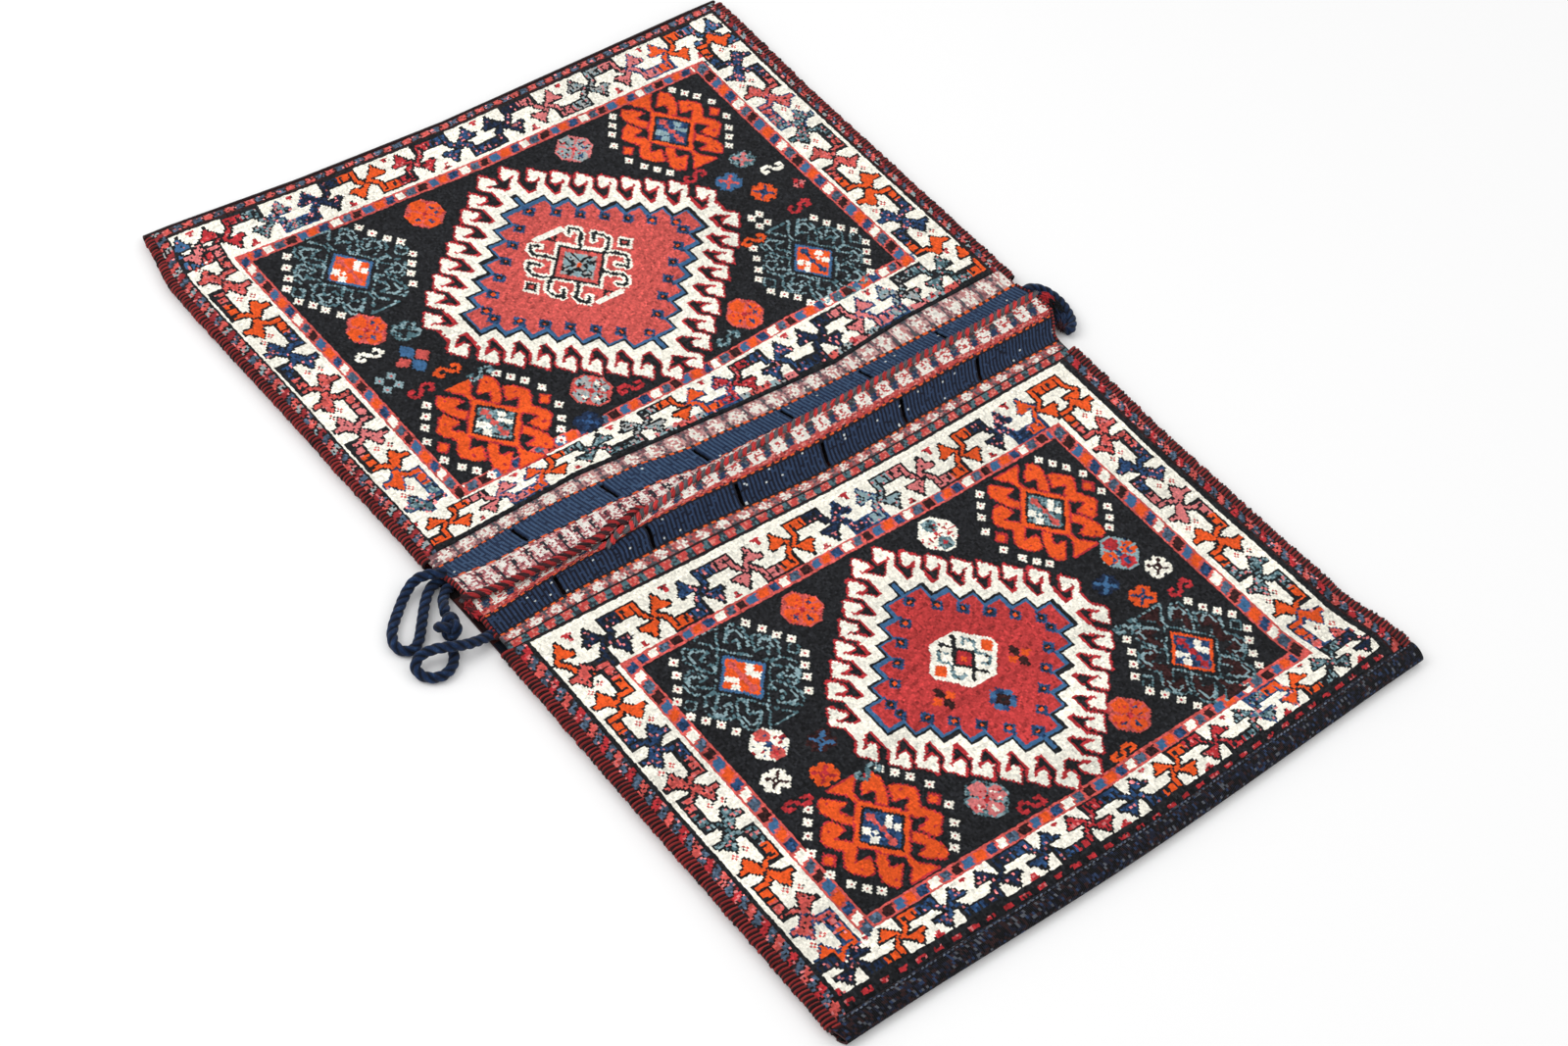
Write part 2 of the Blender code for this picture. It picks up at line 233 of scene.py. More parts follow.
rope_wool, tree, shader, coords = woollen("rope wool", 0.85, 0.10)
lay_map = node(tree, "ShaderNodeUVMap", uv_map="lay")
spread = node(tree, "ShaderNodeMapping", Scale=(1.0, 0.35, 1.0))
fibres = node(tree, "ShaderNodeTexNoise", Scale=14.0, Detail=4.0, Roughness=0.7)
blotch = node(tree, "ShaderNodeTexNoise", Scale=160.0, Detail=2.0)
ramp = node(tree, "ShaderNodeValToRGB")
stops = ramp.color_ramp.elements
stops[0].position, stops[0].color = 0.28, linear(ROPE_DARK)
stops[1].position, stops[1].color = 0.55, linear(ROPE_NAVY)
stops.new(0.80).color = linear(ROPE_HIGHLIGHT)
# Painted shade: the rope's colour darkens to a tenth of itself in the grooves between the laid strands.
groove = node(tree, "ShaderNodeSeparateXYZ")
strand_wave = node(tree, "ShaderNodeMath", operation="PINGPONG")
strand_wave.inputs[1].default_value = 0.5
groove_shade = node(tree, "ShaderNodeMapRange", From_Min=0.5, From_Max=0.12, To_Min=0.10, To_Max=1.25)
groove_shaded_colour = node(tree, "ShaderNodeVectorMath", operation="SCALE")
mean = node(tree, "ShaderNodeMath", operation="MULTIPLY_ADD")
mean.inputs[1].default_value = 0.6
blotch_share = node(tree, "ShaderNodeMath", operation="MULTIPLY")
blotch_share.inputs[1].default_value = 0.4
bump = node(tree, "ShaderNodeBump", Strength=0.55, Distance=0.0006)
join(tree,
     (lay_map.outputs[0], spread.inputs[0]), (spread.outputs[0], fibres.inputs["Vector"]),
     (coords.outputs["Object"], blotch.inputs["Vector"]), (blotch.outputs[0], blotch_share.inputs[0]),
     (fibres.outputs[0], mean.inputs[0]), (blotch_share.outputs[0], mean.inputs[2]),
     (mean.outputs[0], ramp.inputs[0]), (lay_map.outputs[0], groove.inputs[0]),
     (groove.outputs["X"], strand_wave.inputs[0]), (strand_wave.outputs[0], groove_shade.inputs[0]),
     (ramp.outputs[0], groove_shaded_colour.inputs[0]), (groove_shade.outputs[0], groove_shaded_colour.inputs["Scale"]),
     (groove_shaded_colour.outputs[0], shader.inputs["Base Color"]), (fibres.outputs[0], bump.inputs["Height"]),
     (bump.outputs[0], shader.inputs["Normal"]))

ropes, rope_lengths, rope_lines = {}, {}, {}
for rope_name, points in (("corner_loop_left", CORNER_LOOP_LEFT), ("lacing_strand", LACING_STRAND),
                          ("lacing_tail", LACING_TAIL), ("corner_loop_right", CORNER_LOOP_RIGHT)):
    line, rope_lengths[rope_name] = even(through(points, 8), ROPE_STEP)
    rope = laid_rope(rope_name + "_rope", line, ROPE_DIAMETER / 2, ROPE_LAY)
    rope.data.materials.append(rope_wool)
    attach(rope, "root")
    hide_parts(rope_name)
    ropes[rope_name], rope_lines[rope_name] = rope, line

turns = np.linspace(0.0, 2 * math.pi, 260, endpoint=False)
knot_line = np.stack([np.sin(turns) + 2 * np.sin(2 * turns), np.cos(turns) - 2 * np.cos(2 * turns),
                      -1.25 * np.sin(3 * turns)], axis=1)
knot_line = knot_line * (KNOT_SIZE, KNOT_SIZE, KNOT_SIZE * KNOT_RISE) + KNOT_CENTRE
knot_line, _ = even(knot_line, ROPE_STEP, closed=True)
knot = laid_rope("lacing_knot_rope", knot_line, KNOT_RADIUS, ROPE_LAY, closed=True, around=20)
knot.data.materials.append(rope_wool)
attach(knot, "root")
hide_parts("lacing_knot")

# The piled fronts of the two pouches
# Each is one weaving of wool: a knotted pile panel, a strip of wrapped weave, and a flat flap that
# runs to the mouth. Every knot is one small facet of the mesh in its own yarn's colour. The figures
# are the traditional ones of such bags, drawn as outlines and filled knot by knot.
KNOT = 3.0
UNIT = 0.00064
PILE_TOP = 0.0120
PILE_FOOT = 0.0078
LEFT_EDGE = ((-0.482, -0.318), (-0.455, -0.3245), (-0.25, -0.324), (-0.06, -0.323),
             (0.045, -0.324), (0.19, -0.327), (0.40, -0.331), (0.470, -0.320))
RIGHT_EDGE = ((-0.482, 0.318), (-0.452, 0.322), (-0.387, 0.311), (-0.26, 0.308),
              (-0.195, 0.307), (-0.05, 0.309), (0.045, 0.322), (0.30, 0.321), (0.465, 0.324))
FRONT_A = {
    "name": "a", "s": (57.0, 1049.0), "t": (60.0, 721.0), "inset": (0.0050, 0.0088),
    "border": (146.0, 952.0, 155.0, 654.0), "sink": (0.0022, 24.0),
    "flap_rows": (9, 12, 18), "flap_width": 0.6330, "first_slit": -0.2440,
    "lines": (
        (60, ((57, -4), (100, -4), (300, 6), (540, 9), (1000, -9), (1049, -10))),
        (157, ((57, -4), (160, -4), (540, 3), (900, -5), (1049, -7))),
        (652, ((57, 6), (120, 6), (560, 4), (700, -5), (960, -12), (1049, -12))),
        (713, ((57, -8), (100, -8), (300, -15), (560, 2), (640, 6), (722, 9), (860, -3),
               (1049, -6))),
    ),
    "mouth": ((-0.320, 0.0365), (-0.200, 0.0415), (-0.125, 0.0385), (-0.056, 0.0290),
              (0.045, 0.0235), (0.228, 0.0235), (0.320, 0.0265)),
}
FRONT_B = {
    "name": "b", "s": (70.0, 1030.0), "t": (893.0, 1516.0), "inset": (0.0070, 0.0106),
    "border": (166.0, 923.0, 976.0, 1450.0), "sink": (0.0042, 44.0),
    "flap_rows": (12, 16, 20), "flap_width": 0.6310, "first_slit": -0.2470,
    "lines": (
        (905, ((73, -7), (560, 6), (700, 7), (900, 0), (1022, -2))),
        (978, ((73, -2), (560, 1), (700, 3), (900, -1), (1022, -1))),
        (1448, ((73, -15), (560, 2), (1022, 1))),
        (1500, ((73, -18), (560, 6), (900, -2), (1022, -10))),
        (1516, ((73, -15), (560, 4), (1022, -7))),
    ),
    "mouth": ((-0.320, -0.0440), (-0.240, -0.0400), (-0.152, -0.0410), (0.022, -0.0510),
              (0.206, -0.0460), (0.320, -0.0450)),
}
MEETING = ((-0.320, -0.0085), (-0.280, -0.0135), (-0.222, -0.0160), (-0.190, -0.0145),
           (-0.167, -0.0085), (-0.140, -0.0010), (-0.077, 0.0050), (0.074, 0.0080),
           (0.200, 0.0095), (0.320, 0.0125))
YARN = {
    "ivory": (252, 248, 234), "black": (29, 30, 33), "coral": (208, 88, 82),
    "red": (184, 48, 54), "orange": (234, 88, 34), "navy": (38, 66, 104),
    "blue": (62, 104, 146), "teal": (80, 112, 120), "pale": (140, 166, 172),
    "grey": (168, 168, 166), "brown": (50, 26, 26), "pink": (218, 122, 122),
    "night": (24, 38, 62), "plum": (176, 104, 118), "wine": (150, 46, 50), "slate": (70, 88, 108),
    "madder": (190, 60, 60),
}
INDEX = {colour: i for i, colour in enumerate(YARN)}
DYES = linear(np.array(list(YARN.values()), float))
QUARTERS = ((-1, -1), (-1, 1), (1, -1), (1, 1))


def eased(points, at):
    """The height of an eased line through the points, at each place given."""
    at = np.asarray(at, float)
    xs, ys = np.array(points, float).T
    i = np.clip(np.searchsorted(xs, at) - 1, 0, len(xs) - 2)
    t = np.clip((at - xs[i]) / (xs[i + 1] - xs[i]), 0.0, 1.0)
    return ys[i] + (ys[i + 1] - ys[i]) * t * t * (3 - 2 * t)


def chart(front, ground):
    """An empty chart of knots: the place of each, and its colour's number."""
    s = np.arange(front["s"][0] + KNOT / 2, front["s"][1], KNOT)
    t = np.arange(front["t"][0] + KNOT / 2, front["t"][1], KNOT)
    return {"s": s, "t": t, "dye": np.full((len(t), len(s)), INDEX[ground])}


def fill(sheet, points, colour):
    """Knots the inside of an outline in one colour."""
    p = np.asarray(points, float)
    i = np.flatnonzero((sheet["s"] >= p[:, 0].min()) & (sheet["s"] <= p[:, 0].max()))
    j = np.flatnonzero((sheet["t"] >= p[:, 1].min()) & (sheet["t"] <= p[:, 1].max()))
    if not len(i) or not len(j):
        return
    s, t = np.meshgrid(sheet["s"][i], sheet["t"][j])
    inside = np.zeros(s.shape, bool)
    for (x0, y0), (x1, y1) in zip(p, np.roll(p, -1, axis=0)):
        if y0 != y1:
            inside ^= ((y0 > t) != (y1 > t)) & (s < (x1 - x0) * (t - y0) / (y1 - y0) + x0)
    block = sheet["dye"][j[0]:j[-1] + 1, i[0]:i[-1] + 1]
    block[inside] = INDEX[colour]


def stroke(sheet, points, width, colour):
    """Knots a line of the given width in one colour."""
    for (x0, y0), (x1, y1) in zip(points[:-1], points[1:]):
        lo_s, hi_s = min(x0, x1) - width, max(x0, x1) + width
        lo_t, hi_t = min(y0, y1) - width, max(y0, y1) + width
        i = np.flatnonzero((sheet["s"] >= lo_s) & (sheet["s"] <= hi_s))
        j = np.flatnonzero((sheet["t"] >= lo_t) & (sheet["t"] <= hi_t))
        if not len(i) or not len(j):
            continue
        s, t = np.meshgrid(sheet["s"][i], sheet["t"][j])
        dx, dy = x1 - x0, y1 - y0
        along = np.clip(((s - x0) * dx + (t - y0) * dy) / max(dx * dx + dy * dy, 1e-9), 0, 1)
        near = np.hypot(s - x0 - along * dx, t - y0 - along * dy) <= width / 2
        block = sheet["dye"][j[0]:j[-1] + 1, i[0]:i[-1] + 1]
        block[near] = INDEX[colour]


def box(sheet, s0, t0, s1, t1, colour):
    fill(sheet, ((s0, t0), (s1, t0), (s1, t1), (s0, t1)), colour)


def set_at(points, s, t, flip_s=1, flip_t=1):
    """A figure's points moved to their place on the chart, or mirrored there."""
    return [(s + flip_s * x, t + flip_t * y) for x, y in points]


def diamond(sheet, s, t, a, b, colour):
    fill(sheet, ((s, t - b), (s + a, t), (s, t + b), (s - a, t)), colour)


def nest(sheet, s, t, *rings):
    """Diamonds one inside another, from the widest to the smallest."""
    for a, b, colour in rings:
        diamond(sheet, s, t, a, b, colour)


def flower(sheet, s, t, petals="ivory", heart="red", reach=7.6):
    """Four petals of two knots round one knot of another colour, set square to the knots."""
    s = sheet["s"][np.argmin(np.abs(sheet["s"] - s))]
    t = sheet["t"][np.argmin(np.abs(sheet["t"] - t))]
    box(sheet, s - reach, t - 1.6, s + reach, t + 1.6, petals)
    box(sheet, s - 1.6, t - reach, s + 1.6, t + reach, petals)
    box(sheet, s - reach * 0.62, t - 3.2, s + reach * 0.62, t + 3.2, petals)
    box(sheet, s - 1.4, t - 1.4, s + 1.4, t + 1.4, heart)


def rosette(sheet, s, t, rim, waist, spots, heart="red", a=28.0, b=28.0):
    """An eight-sided flower of eight petals with spots, and odd knots of its heart's colour."""
    half = ((0.32, -1.0), (1.0, -0.30), (1.0, 0.30), (0.32, 1.0))
    outline = [(s + a * x, t + b * y) for x, y in half]
    outline += [(s - a * x, t - b * y) for x, y in half]
    fill(sheet, outline, rim)
    petal = ((0.0, -0.10), (0.14, -0.20), (0.44, -0.56), (0.28, -0.94), (-0.28, -0.94), (-0.44, -0.56),
             (-0.14, -0.20))
    side_petal = spots if spots == "orange" else rim if rim == "ivory" else waist
    for flip in (-1, 1):
        fill(sheet, [(s + a * x, t + flip * b * y) for x, y in petal], waist)
        fill(sheet, [(s + flip * a * y, t + b * x) for x, y in petal], side_petal)
        stroke(sheet, ((s + flip * a, t), (s + flip * a * 0.62, t)), 3.0,
               spots if side_petal == rim else rim)
        diamond(sheet, s, t + flip * b * 0.58, 4, 6, heart if spots == "orange" else spots)
        for side in (-1, 1):
            diamond(sheet, s + side * a * 0.52, t + flip * b * 0.20, 3.5, 3.5,
                    heart if side_petal == spots else spots)
    diamond(sheet, s, t, 5, 5, heart)
    i = np.flatnonzero(np.abs(sheet["s"] - s) < a * 0.85)
    j = np.flatnonzero(np.abs(sheet["t"] - t) < b * 0.60)
    odd = (j[:, None] * 5 + i[None, :] * 11 + (j[:, None] * i[None, :]) % 3) % 13 == 0
    part = sheet["dye"][np.ix_(j, i)]
    part[odd] = INDEX[heart]
    sheet["dye"][np.ix_(j, i)] = part


def aster(sheet, s, t, petals, heart, a=19.0, b=16.0):
    """A small round flower with notched petals and a cross of another colour in it."""
    fill(sheet, ((s - a * 0.5, t - b), (s + a * 0.5, t - b), (s + a, t - b * 0.4), (s + a, t + b * 0.4),
                 (s + a * 0.5, t + b), (s - a * 0.5, t + b), (s - a, t + b * 0.4), (s - a, t - b * 0.4)),
         petals)
    for side in (-1, 1):
        diamond(sheet, s, t + side * b, 4, 4, "black")
        diamond(sheet, s + side * a, t, 4, 4, "black")
        stroke(sheet, ((s - side * 10, t - 9), (s + side * 10, t + 9)), 4.8, heart)
    nest(sheet, s, t, (6, 5, heart), (2, 2, petals))


def four_lobes(sheet, s, t, upright, across, size=17.0):
    """Four pointed lobes round a point, two of one colour and two of another."""
    for side in (-1, 1):
        diamond(sheet, s, t + side * size * 0.62, size * 0.52, size * 0.62, upright)
        diamond(sheet, s + side * size * 0.66, t, size * 0.55, size * 0.50, across)


def ess(sheet, s, t, colour, flip=1):
    """A small lying S with curled ends."""
    stroke(sheet, set_at(((-10, 4), (-16, 4), (-18, -3), (-11, -7), (-3, -5), (3, 5), (11, 7), (18, 3),
                          (16, -4), (10, -4)), s, t, flip), 5.6, colour)


def stepped(s, t, flat, across, down, levels, grow=0.0):
    """The outline of a stepped diamond, grown by so much all round."""
    quarter = []
    for i in range(levels):
        wide, high = flat + i * across + grow, (levels - i) * down + grow
        quarter += [(wide, -high), (wide, -(levels - i - 1) * down - grow if i < levels - 1 else 0)]
    right = [(s + x, t + y) for x, y in quarter] + [(s + x, t - y) for x, y in reversed(quarter)]
    return right + [(2 * s - x, y) for x, y in reversed(right)]


def medallion(sheet, s, t, flat, across, down, levels, ground):
    """The stepped medallion: a white band edged with latch hooks round a coloured field."""
    outer, stalk = 14.5, (7.0, 24.0)
    hook = ((-14, -22), (-5, -33), (1, -42), (7, -36), (11, -29), (15, -26), (13, -19), (6, -19),
            (-3, -22), (-4, -19), (5, -12), (12, -6), (16, 0), (17, 3), (-1, 3), (0, -6),
            (-7, -13), (-11, -17))
    hooks = []
    for level in range(-1, levels + 1):
        wide = flat + level * across + outer
        high = (levels - level) * down + outer
        if level == -1:
            wide, high = stalk[0] + outer * 0.9, levels * down + stalk[1] + outer * 0.9
        if level == levels:
            high = 5.0
        hooks += [((s + a * wide, t + b * high), -a, -b) for a, b in QUARTERS]
    for (hs, ht), flip_s, flip_t in hooks:
        outline = set_at(hook, hs, ht, flip_s, flip_t)
        stroke(sheet, [*outline, outline[0]], 5.6, "red")
    wide = flat + levels * across + outer
    for edge, waist, high, stalk_wide, stalk_far, colour in (
            (outer + 3.6, wide + 4, 12, outer + 3, outer + 1, "red"),
            (outer, wide, 9, outer, outer - 3, "ivory")):
        fill(sheet, stepped(s, t, flat, across, down, levels, edge), colour)
        box(sheet, s - waist, t - high, s + waist, t + high, colour)
        for side in (-1, 1):
            box(sheet, s - stalk[0] - stalk_wide, t + side * (levels * down + stalk[1] + stalk_far),
                s + stalk[0] + stalk_wide, t + side * levels * down, colour)
    for (hs, ht), flip_s, flip_t in hooks:
        fill(sheet, set_at(hook, hs, ht, flip_s, flip_t), "ivory")
    fill(sheet, stepped(s, t, flat, across, down, levels, 3.0), "black")
    for side in (-1, 1):
        box(sheet, s - 6.5, t + side * (levels * down + stalk[1]), s + 6.5, t, "black")
    fill(sheet, stepped(s, t, flat, across, down, levels, -0.5), "blue")
    fill(sheet, stepped(s, t, flat, across, down, levels, -4.5), ground)
    for side in (-1, 1):
        box(sheet, s - 2.2, t + side * (levels * down + stalk[1] - 4), s + 2.2,
            t + side * (levels * down - 14), "blue")
        eye(sheet, s, t + side * (levels * down - 13))
    for level in range(levels - 1):
        x, y = flat + level * across - 5, (levels - level) * down - 1.6 * down
        for a, b in QUARTERS:
            box(sheet, s + a * x - 2, t + b * (y + 12), s + a * x + 2, t + b * y, "navy")
            eye(sheet, s + a * x, t + b * y)


def eye(sheet, s, t):
    """A small eye of navy round an orange knot."""
    nest(sheet, s, t, (11.0, 11.0, "navy"), (6.0, 6.0, "black"))
    box(sheet, s - 2.2, t - 2.2, s + 2.2, t + 2.2, "orange")


HORN_STARS = {"teal": ((57, -63), (67, -45), (78, -29), (90, -14)),
              "orange": ((56, -69), (68, -55), (80, -40), (91, -18))}


def ram_horns(sheet, s, t, horn, edge, rim, ground, petals):
    """A framed diamond with eight curled horns, and white flowers along its four slants."""
    upper = ((19, -33), (25, -39), (29, -47), (24, -51), (13, -52), (19, -60), (27, -67), (35, -74),
             (43, -68), (46, -58), (42, -46), (34, -31), (27, -24))
    side = ((42, -3), (46, -9), (53, -14), (57, -20), (50, -22), (38, -24), (42, -33), (48, -44),
            (58, -40), (66, -32), (72, -24), (69, -15), (62, -6), (58, 1), (42, 1))
    crest = ((-20, -79), (21, -79), (4, -60), (2, -48), (-2, -48), (-4, -60))
    figures = [(crest, 1, flip) for flip in (-1, 1)]
    figures += [(points, a, b) for points in (upper, side) for a, b in QUARTERS]
    open_work = horn == "teal"
    for points, flip_s, flip_t in figures:
        outline = set_at(points, s, t, flip_s, flip_t)
        stroke(sheet, [*outline, outline[0]], 3.4 if open_work else 4.2, edge)
    for flip in (-1, 1):
        diamond(sheet, s + flip * 81, t, 12, 11, edge)
        diamond(sheet, s + flip * 81, t, 8, 8, "black" if open_work else horn)
    diamond(sheet, s, t, 46, 52, edge)
    for points, flip_s, flip_t in figures:
        if not open_work:
            fill(sheet, set_at(points, s, t, flip_s, flip_t), horn)
        elif rim == "orange":
            near_mid = [(x * 0.9 + 0.1 * points[0][0], y * 0.9 + 0.1 * points[0][1]) for x, y in points]
            fill(sheet, set_at(near_mid, s, t, flip_s, flip_t), "brown")
    diamond(sheet, s, t, 43, 49, "black" if open_work else horn)
    for flip_s, flip_t in QUARTERS:
        if open_work:
            for curl in (((37, -50), (38, -62), (30, -65), (18, -58)),
                         ((61, -16), (64, -28), (56, -35), (47, -29))):
                stroke(sheet, set_at(curl, s, t, flip_s, flip_t), 3.2, "pale")
        else:
            for x, y in set_at(((33, -64), (56, -31)), s, t, flip_s, flip_t):
                box(sheet, x - 2, y - 2, x + 2, y + 2, edge)
    nest(sheet, s, t, (36, 40, rim), (31, 34, ground))
    for flip in (-1, 1):
        diamond(sheet, s + flip * 17, t - 7, 7, 7, petals[0])
        diamond(sheet, s + flip * 17, t + 8, 7, 7, petals[0])
        diamond(sheet, s + flip * 10, t, 6, 5, petals[0])
        diamond(sheet, s, t + flip * 21, 8, 7, petals[1])
        diamond(sheet, s, t + flip * 12, 4, 8, petals[1])
    diamond(sheet, s, t, 6, 7, petals[1])
    for flip_s, flip_t in QUARTERS:
        for spot in set_at(HORN_STARS[horn], s, t, flip_s, flip_t):
            flower(sheet, *spot)


def turned(points, upright):
    """The same points for a stripe that runs down the chart instead of across it."""
    return [(y, x) for x, y in points] if upright else points


def border_run(sheet, start, end, middle, half, links, first_up, pitch=77.0, upright=False):
    """The main border: bracket figures, turn about, whose legs cross and end in bird heads."""
    scale = half / 33.5

    def lay(points, flip_run, flip_cross):
        moved = [(at + flip_run * x, middle + flip_cross * y * scale) for x, y in points]
        return turned(moved, upright)

    reach = pitch / 2
    half_bracket = ((0, -35), (30, -35), (30, -14), (reach - 2, -5), (reach + 3, 1), (reach - 1, 6),
                    (29, 4), (20, -4), (17, -13), (0, -13))
    colour_in = ((0, -31), (26, -31), (26, -12), (reach - 3, -2), (reach + 1, 2), (reach - 2, 4),
                 (30, 1), (23, -6), (20, -17), (0, -17))
    if upright:
        foot = ((reach, -3), (26, 1), (17, 5), (6, 13), (13, 20), (19, 24), (21, 33), (26, 33), (26, 19),
                (32, 12), (reach + 2, 4))
    else:
        foot = ((reach - 1, -2), (31, 6), (9, 5), (7, 9), (14, 14), (17, 21), (21, 29), (26, 20),
                (33, 11), (reach + 3, 3))
    count, up, at = 0, first_up, start
    while at < end:
        cross = -1 if up else 1
        pair = (links[count % len(links)], links[(count + 1) % len(links)])
        rim = "navy" if count % 4 == 2 and "navy" not in pair and "blue" not in pair else "black"
        for flip in (-1, 1):
            fill(sheet, lay(half_bracket, flip, cross), rim)
            outline = lay(foot, flip, cross)
            stroke(sheet, [*outline, outline[0]], 5.6, rim)
        for flip, colour in ((-1, pair[0]), (1, pair[1])):
            own = "night" if colour == "black" else colour
            fill(sheet, lay(colour_in, flip, cross), own)
            fill(sheet, lay(foot, flip, cross), own)
            for k in (2, 16):
                fill(sheet, lay(((k, -17), (k + 4, -17), (k + 6, -29), (k + 2, -29)), flip, cross), rim)
        if upright:
            for spot in lay(((1, 22), (-3, 2)), 1, cross):
                flower(sheet, *spot, "coral", "ivory", 4.6)
        else:
            fill(sheet, lay(((-7, 33), (7, 33), (3, 27), (4, 22), (-2, 22), (-2, 27)), 1, cross), "red")
        count, up, at = count + 1, not up, at + pitch


def guard_run(sheet, start, end, low, high, upright=False, first=0):
    """The narrow guard: slanted blocks of colour between two thin red lines."""
    cycle = ("orange", "navy", "ivory", "slate", "brown", "blue")
    slant = 6.0 if upright else 3.0
    fill(sheet, turned(((start, low), (end, low), (end, high), (start, high)), upright), "coral")
    inner_low, inner_high, k, at = low + 3.2, high - 3.2, first, start + 4
    while at < end - 8:
        long = 15 if k % 4 in (0, 3) else 12
        block = ((at, inner_high), (at + slant, inner_low), (at + slant + long, inner_low),
                 (at + long, inner_high))
        fill(sheet, turned(block, upright), cycle[k % len(cycle)])
        k, at = k + 1, at + long + 4.0


def barber_run(sheet, start, end, low, high, colours, pitch, upright=False, rows=2):
    """The outermost stripe: slanted blocks of two or three colours on dark brown."""
    fill(sheet, turned(((start, low), (end, low), (end, high), (start, high)), upright), "brown")
    low, high, k, at = low + 2.2, high - 2.2, 0, start - pitch
    middle = (low + high) / 2
    parts = ((low, middle + 1, 0.0), (middle + 1, high, -0.45))
    if rows == 1:
        parts = ((low, high, 0.0),)
    while at < end + pitch:
        for a, b, step in parts:
            left = at + step * pitch
            block = ((left, b), (left + pitch * 0.3, a), (left + pitch * 1.1, a), (left + pitch * 0.8, b))
            fill(sheet, turned(block, upright), colours[k % len(colours)])
        k, at = k + 1, at + pitch


def each(draw, sheet, *rows):
    """Draws one kind of figure or stripe for each row of its places and colours."""
    for row in rows:
        draw(sheet, *row)


# The far pouch's chart.
far = chart(FRONT_A, "black")
s0, s1 = FRONT_A["s"]
t0, t1 = FRONT_A["t"]
box(far, 76, 78, 1033, t1, "black")
box(far, 79, 81, 1030, 713, "ivory")
for at in np.arange(430, 1030, 6.0):
    box(far, at, 706, at + 6, 714, ("grey", "coral", "grey", "pink")[int(at * 7.3) % 4])
each(border_run, far,
     (108, 1035, 116, 33.0, ("blue", "red", "teal", "black", "orange", "red", "navy", "black", "pink",
                             "grey", "pink", "orange"), True),
     (150, 640, 112, 28.5, ("pink", "coral", "orange", "navy", "coral", "pink", "orange", "teal"), True,
      76.5, True),
     (155, 640, 990, 33.0, ("orange", "navy", "coral", "teal", "coral", "orange", "navy"), False,
      77.0, True),
     (78, 1035, 683, 29.0, ("teal", "orange", "pink", "orange", "teal", "grey", "orange", "red",
                            "navy", "black", "pink", "grey"), True))
each(box, far, (s0, t0, 79, t1, "black"), (1030, t0, s1, t1, "black"))
side_reds = ("coral", "grey", "wine", "slate")
each(barber_run, far, (s0, s1, t0, 78, ("coral", "slate"), 16.0, False, 1),
     (t0, t1, s0, 76, side_reds, 10.0, True), (t0, t1, 1033, s1, side_reds, 10.0, True))
box(far, 150, 160, 948, 650, "black")
each(guard_run, far, (148, 951, 157, 175), (148, 951, 634, 652, False, 2),
     (157, 652, 148, 166, True, 1), (157, 652, 927, 950, True, 3))
medallion(far, 540, 413, 37, 26.6, 21.2, 7, "coral")
HEART = (536, 397)
HEART_HOOKS = (((22, -26), (28, -36), (40, -45), (42, -55), (33, -64), (24, -56)),
               ((44, 0), (57, -7), (67, -18), (65, -28), (56, -39), (46, -27)))
for width, colour in ((12.0, "ivory"), (5.0, "black")):
    for flip_s, flip_t in QUARTERS:
        for hook in HEART_HOOKS:
            stroke(far, set_at(hook, *HEART, flip_s, flip_t), width, colour)
    if colour == "ivory":
        stroke(far, ((514, 328), (558, 328)), 8.0, "ivory")
        stroke(far, ((516, 466), (556, 466)), 8.0, "ivory")
        diamond(far, *HEART, 53, 54, "ivory")
nest(far, *HEART, (46, 47, "black"), (40, 41, "coral"), (31, 32, "grey"))
for flip_s, flip_t in QUARTERS:
    diamond(far, 536 + flip_s * 12, 397 + flip_t * 13, 7, 7, "pale")
    for ray in (((5, -5), (6, -22)), ((5, -4), (23, -6))):
        stroke(far, set_at(ray, *HEART, flip_s, flip_t), 4.0, "black")
diamond(far, *HEART, 5, 6, "orange")
for s, t in ((455, 398), (618, 397)):
    nest(far, s, t, (15, 15, "ivory"), (10, 10, "black"), (4, 4, "coral"))
for t, side in ((337, 1), (459, -1)):
    fill(far, ((525, t - side * 4), (547, t - side * 4), (536, t + side * 8)), "black")
    diamond(far, 536, t - side * 2, 4, 3, "coral")
each(ram_horns, far, (265, 252, "teal", "teal", "blue", "orange", ("ivory", "coral")),
     (817, 254, "orange", "red", "black", "navy", ("pale", "coral")),
     (265, 572, "orange", "red", "black", "teal", ("ivory", "coral")),
     (824, 570, "teal", "teal", "blue", "orange", ("ivory", "navy")))
each(rosette, far, (414, 210, "coral", "orange", "navy"), (670, 210, "pink", "grey", "navy"),
     (407, 592, "coral", "grey", "ivory"), (674, 596, "coral", "orange", "navy"),
     (221, 352, "coral", "orange", "navy", "red", 27.0, 28.0))
four_lobes(far, 242, 426, "blue", "coral", 22.0)
each(aster, far, (263, 380, "teal", "black", 20.0, 17.0), (870, 356, "teal", "pink", 20.0, 17.0),
     (822, 383, "blue", "coral", 20.0, 17.0), (852, 426, "orange", "navy", 20.0, 17.0),
     (369, 634, "night", "navy", 20.0, 17.0))
for s, t, petals in ((191, 445, "pale"), (811, 467, "ivory")):
    for x, y in ((-8, -9), (8, -9), (-8, 9), (8, 9)):
        flower(far, s + x, t + y, petals, "coral", 6.2)
four_lobes(far, 908, 439, "red", "pink", 10.0)
each(ess, far, (197, 392, "ivory", 1), (218, 478, "red", -1), (268, 466, "orange", 1),
     (301, 492, "teal", -1), (455, 615, "red", 1), (787, 347, "red", -1), (896, 393, "ivory", 1),
     (878, 476, "red", -1), (778, 493, "orange", 1), (625, 617, "teal", -1))

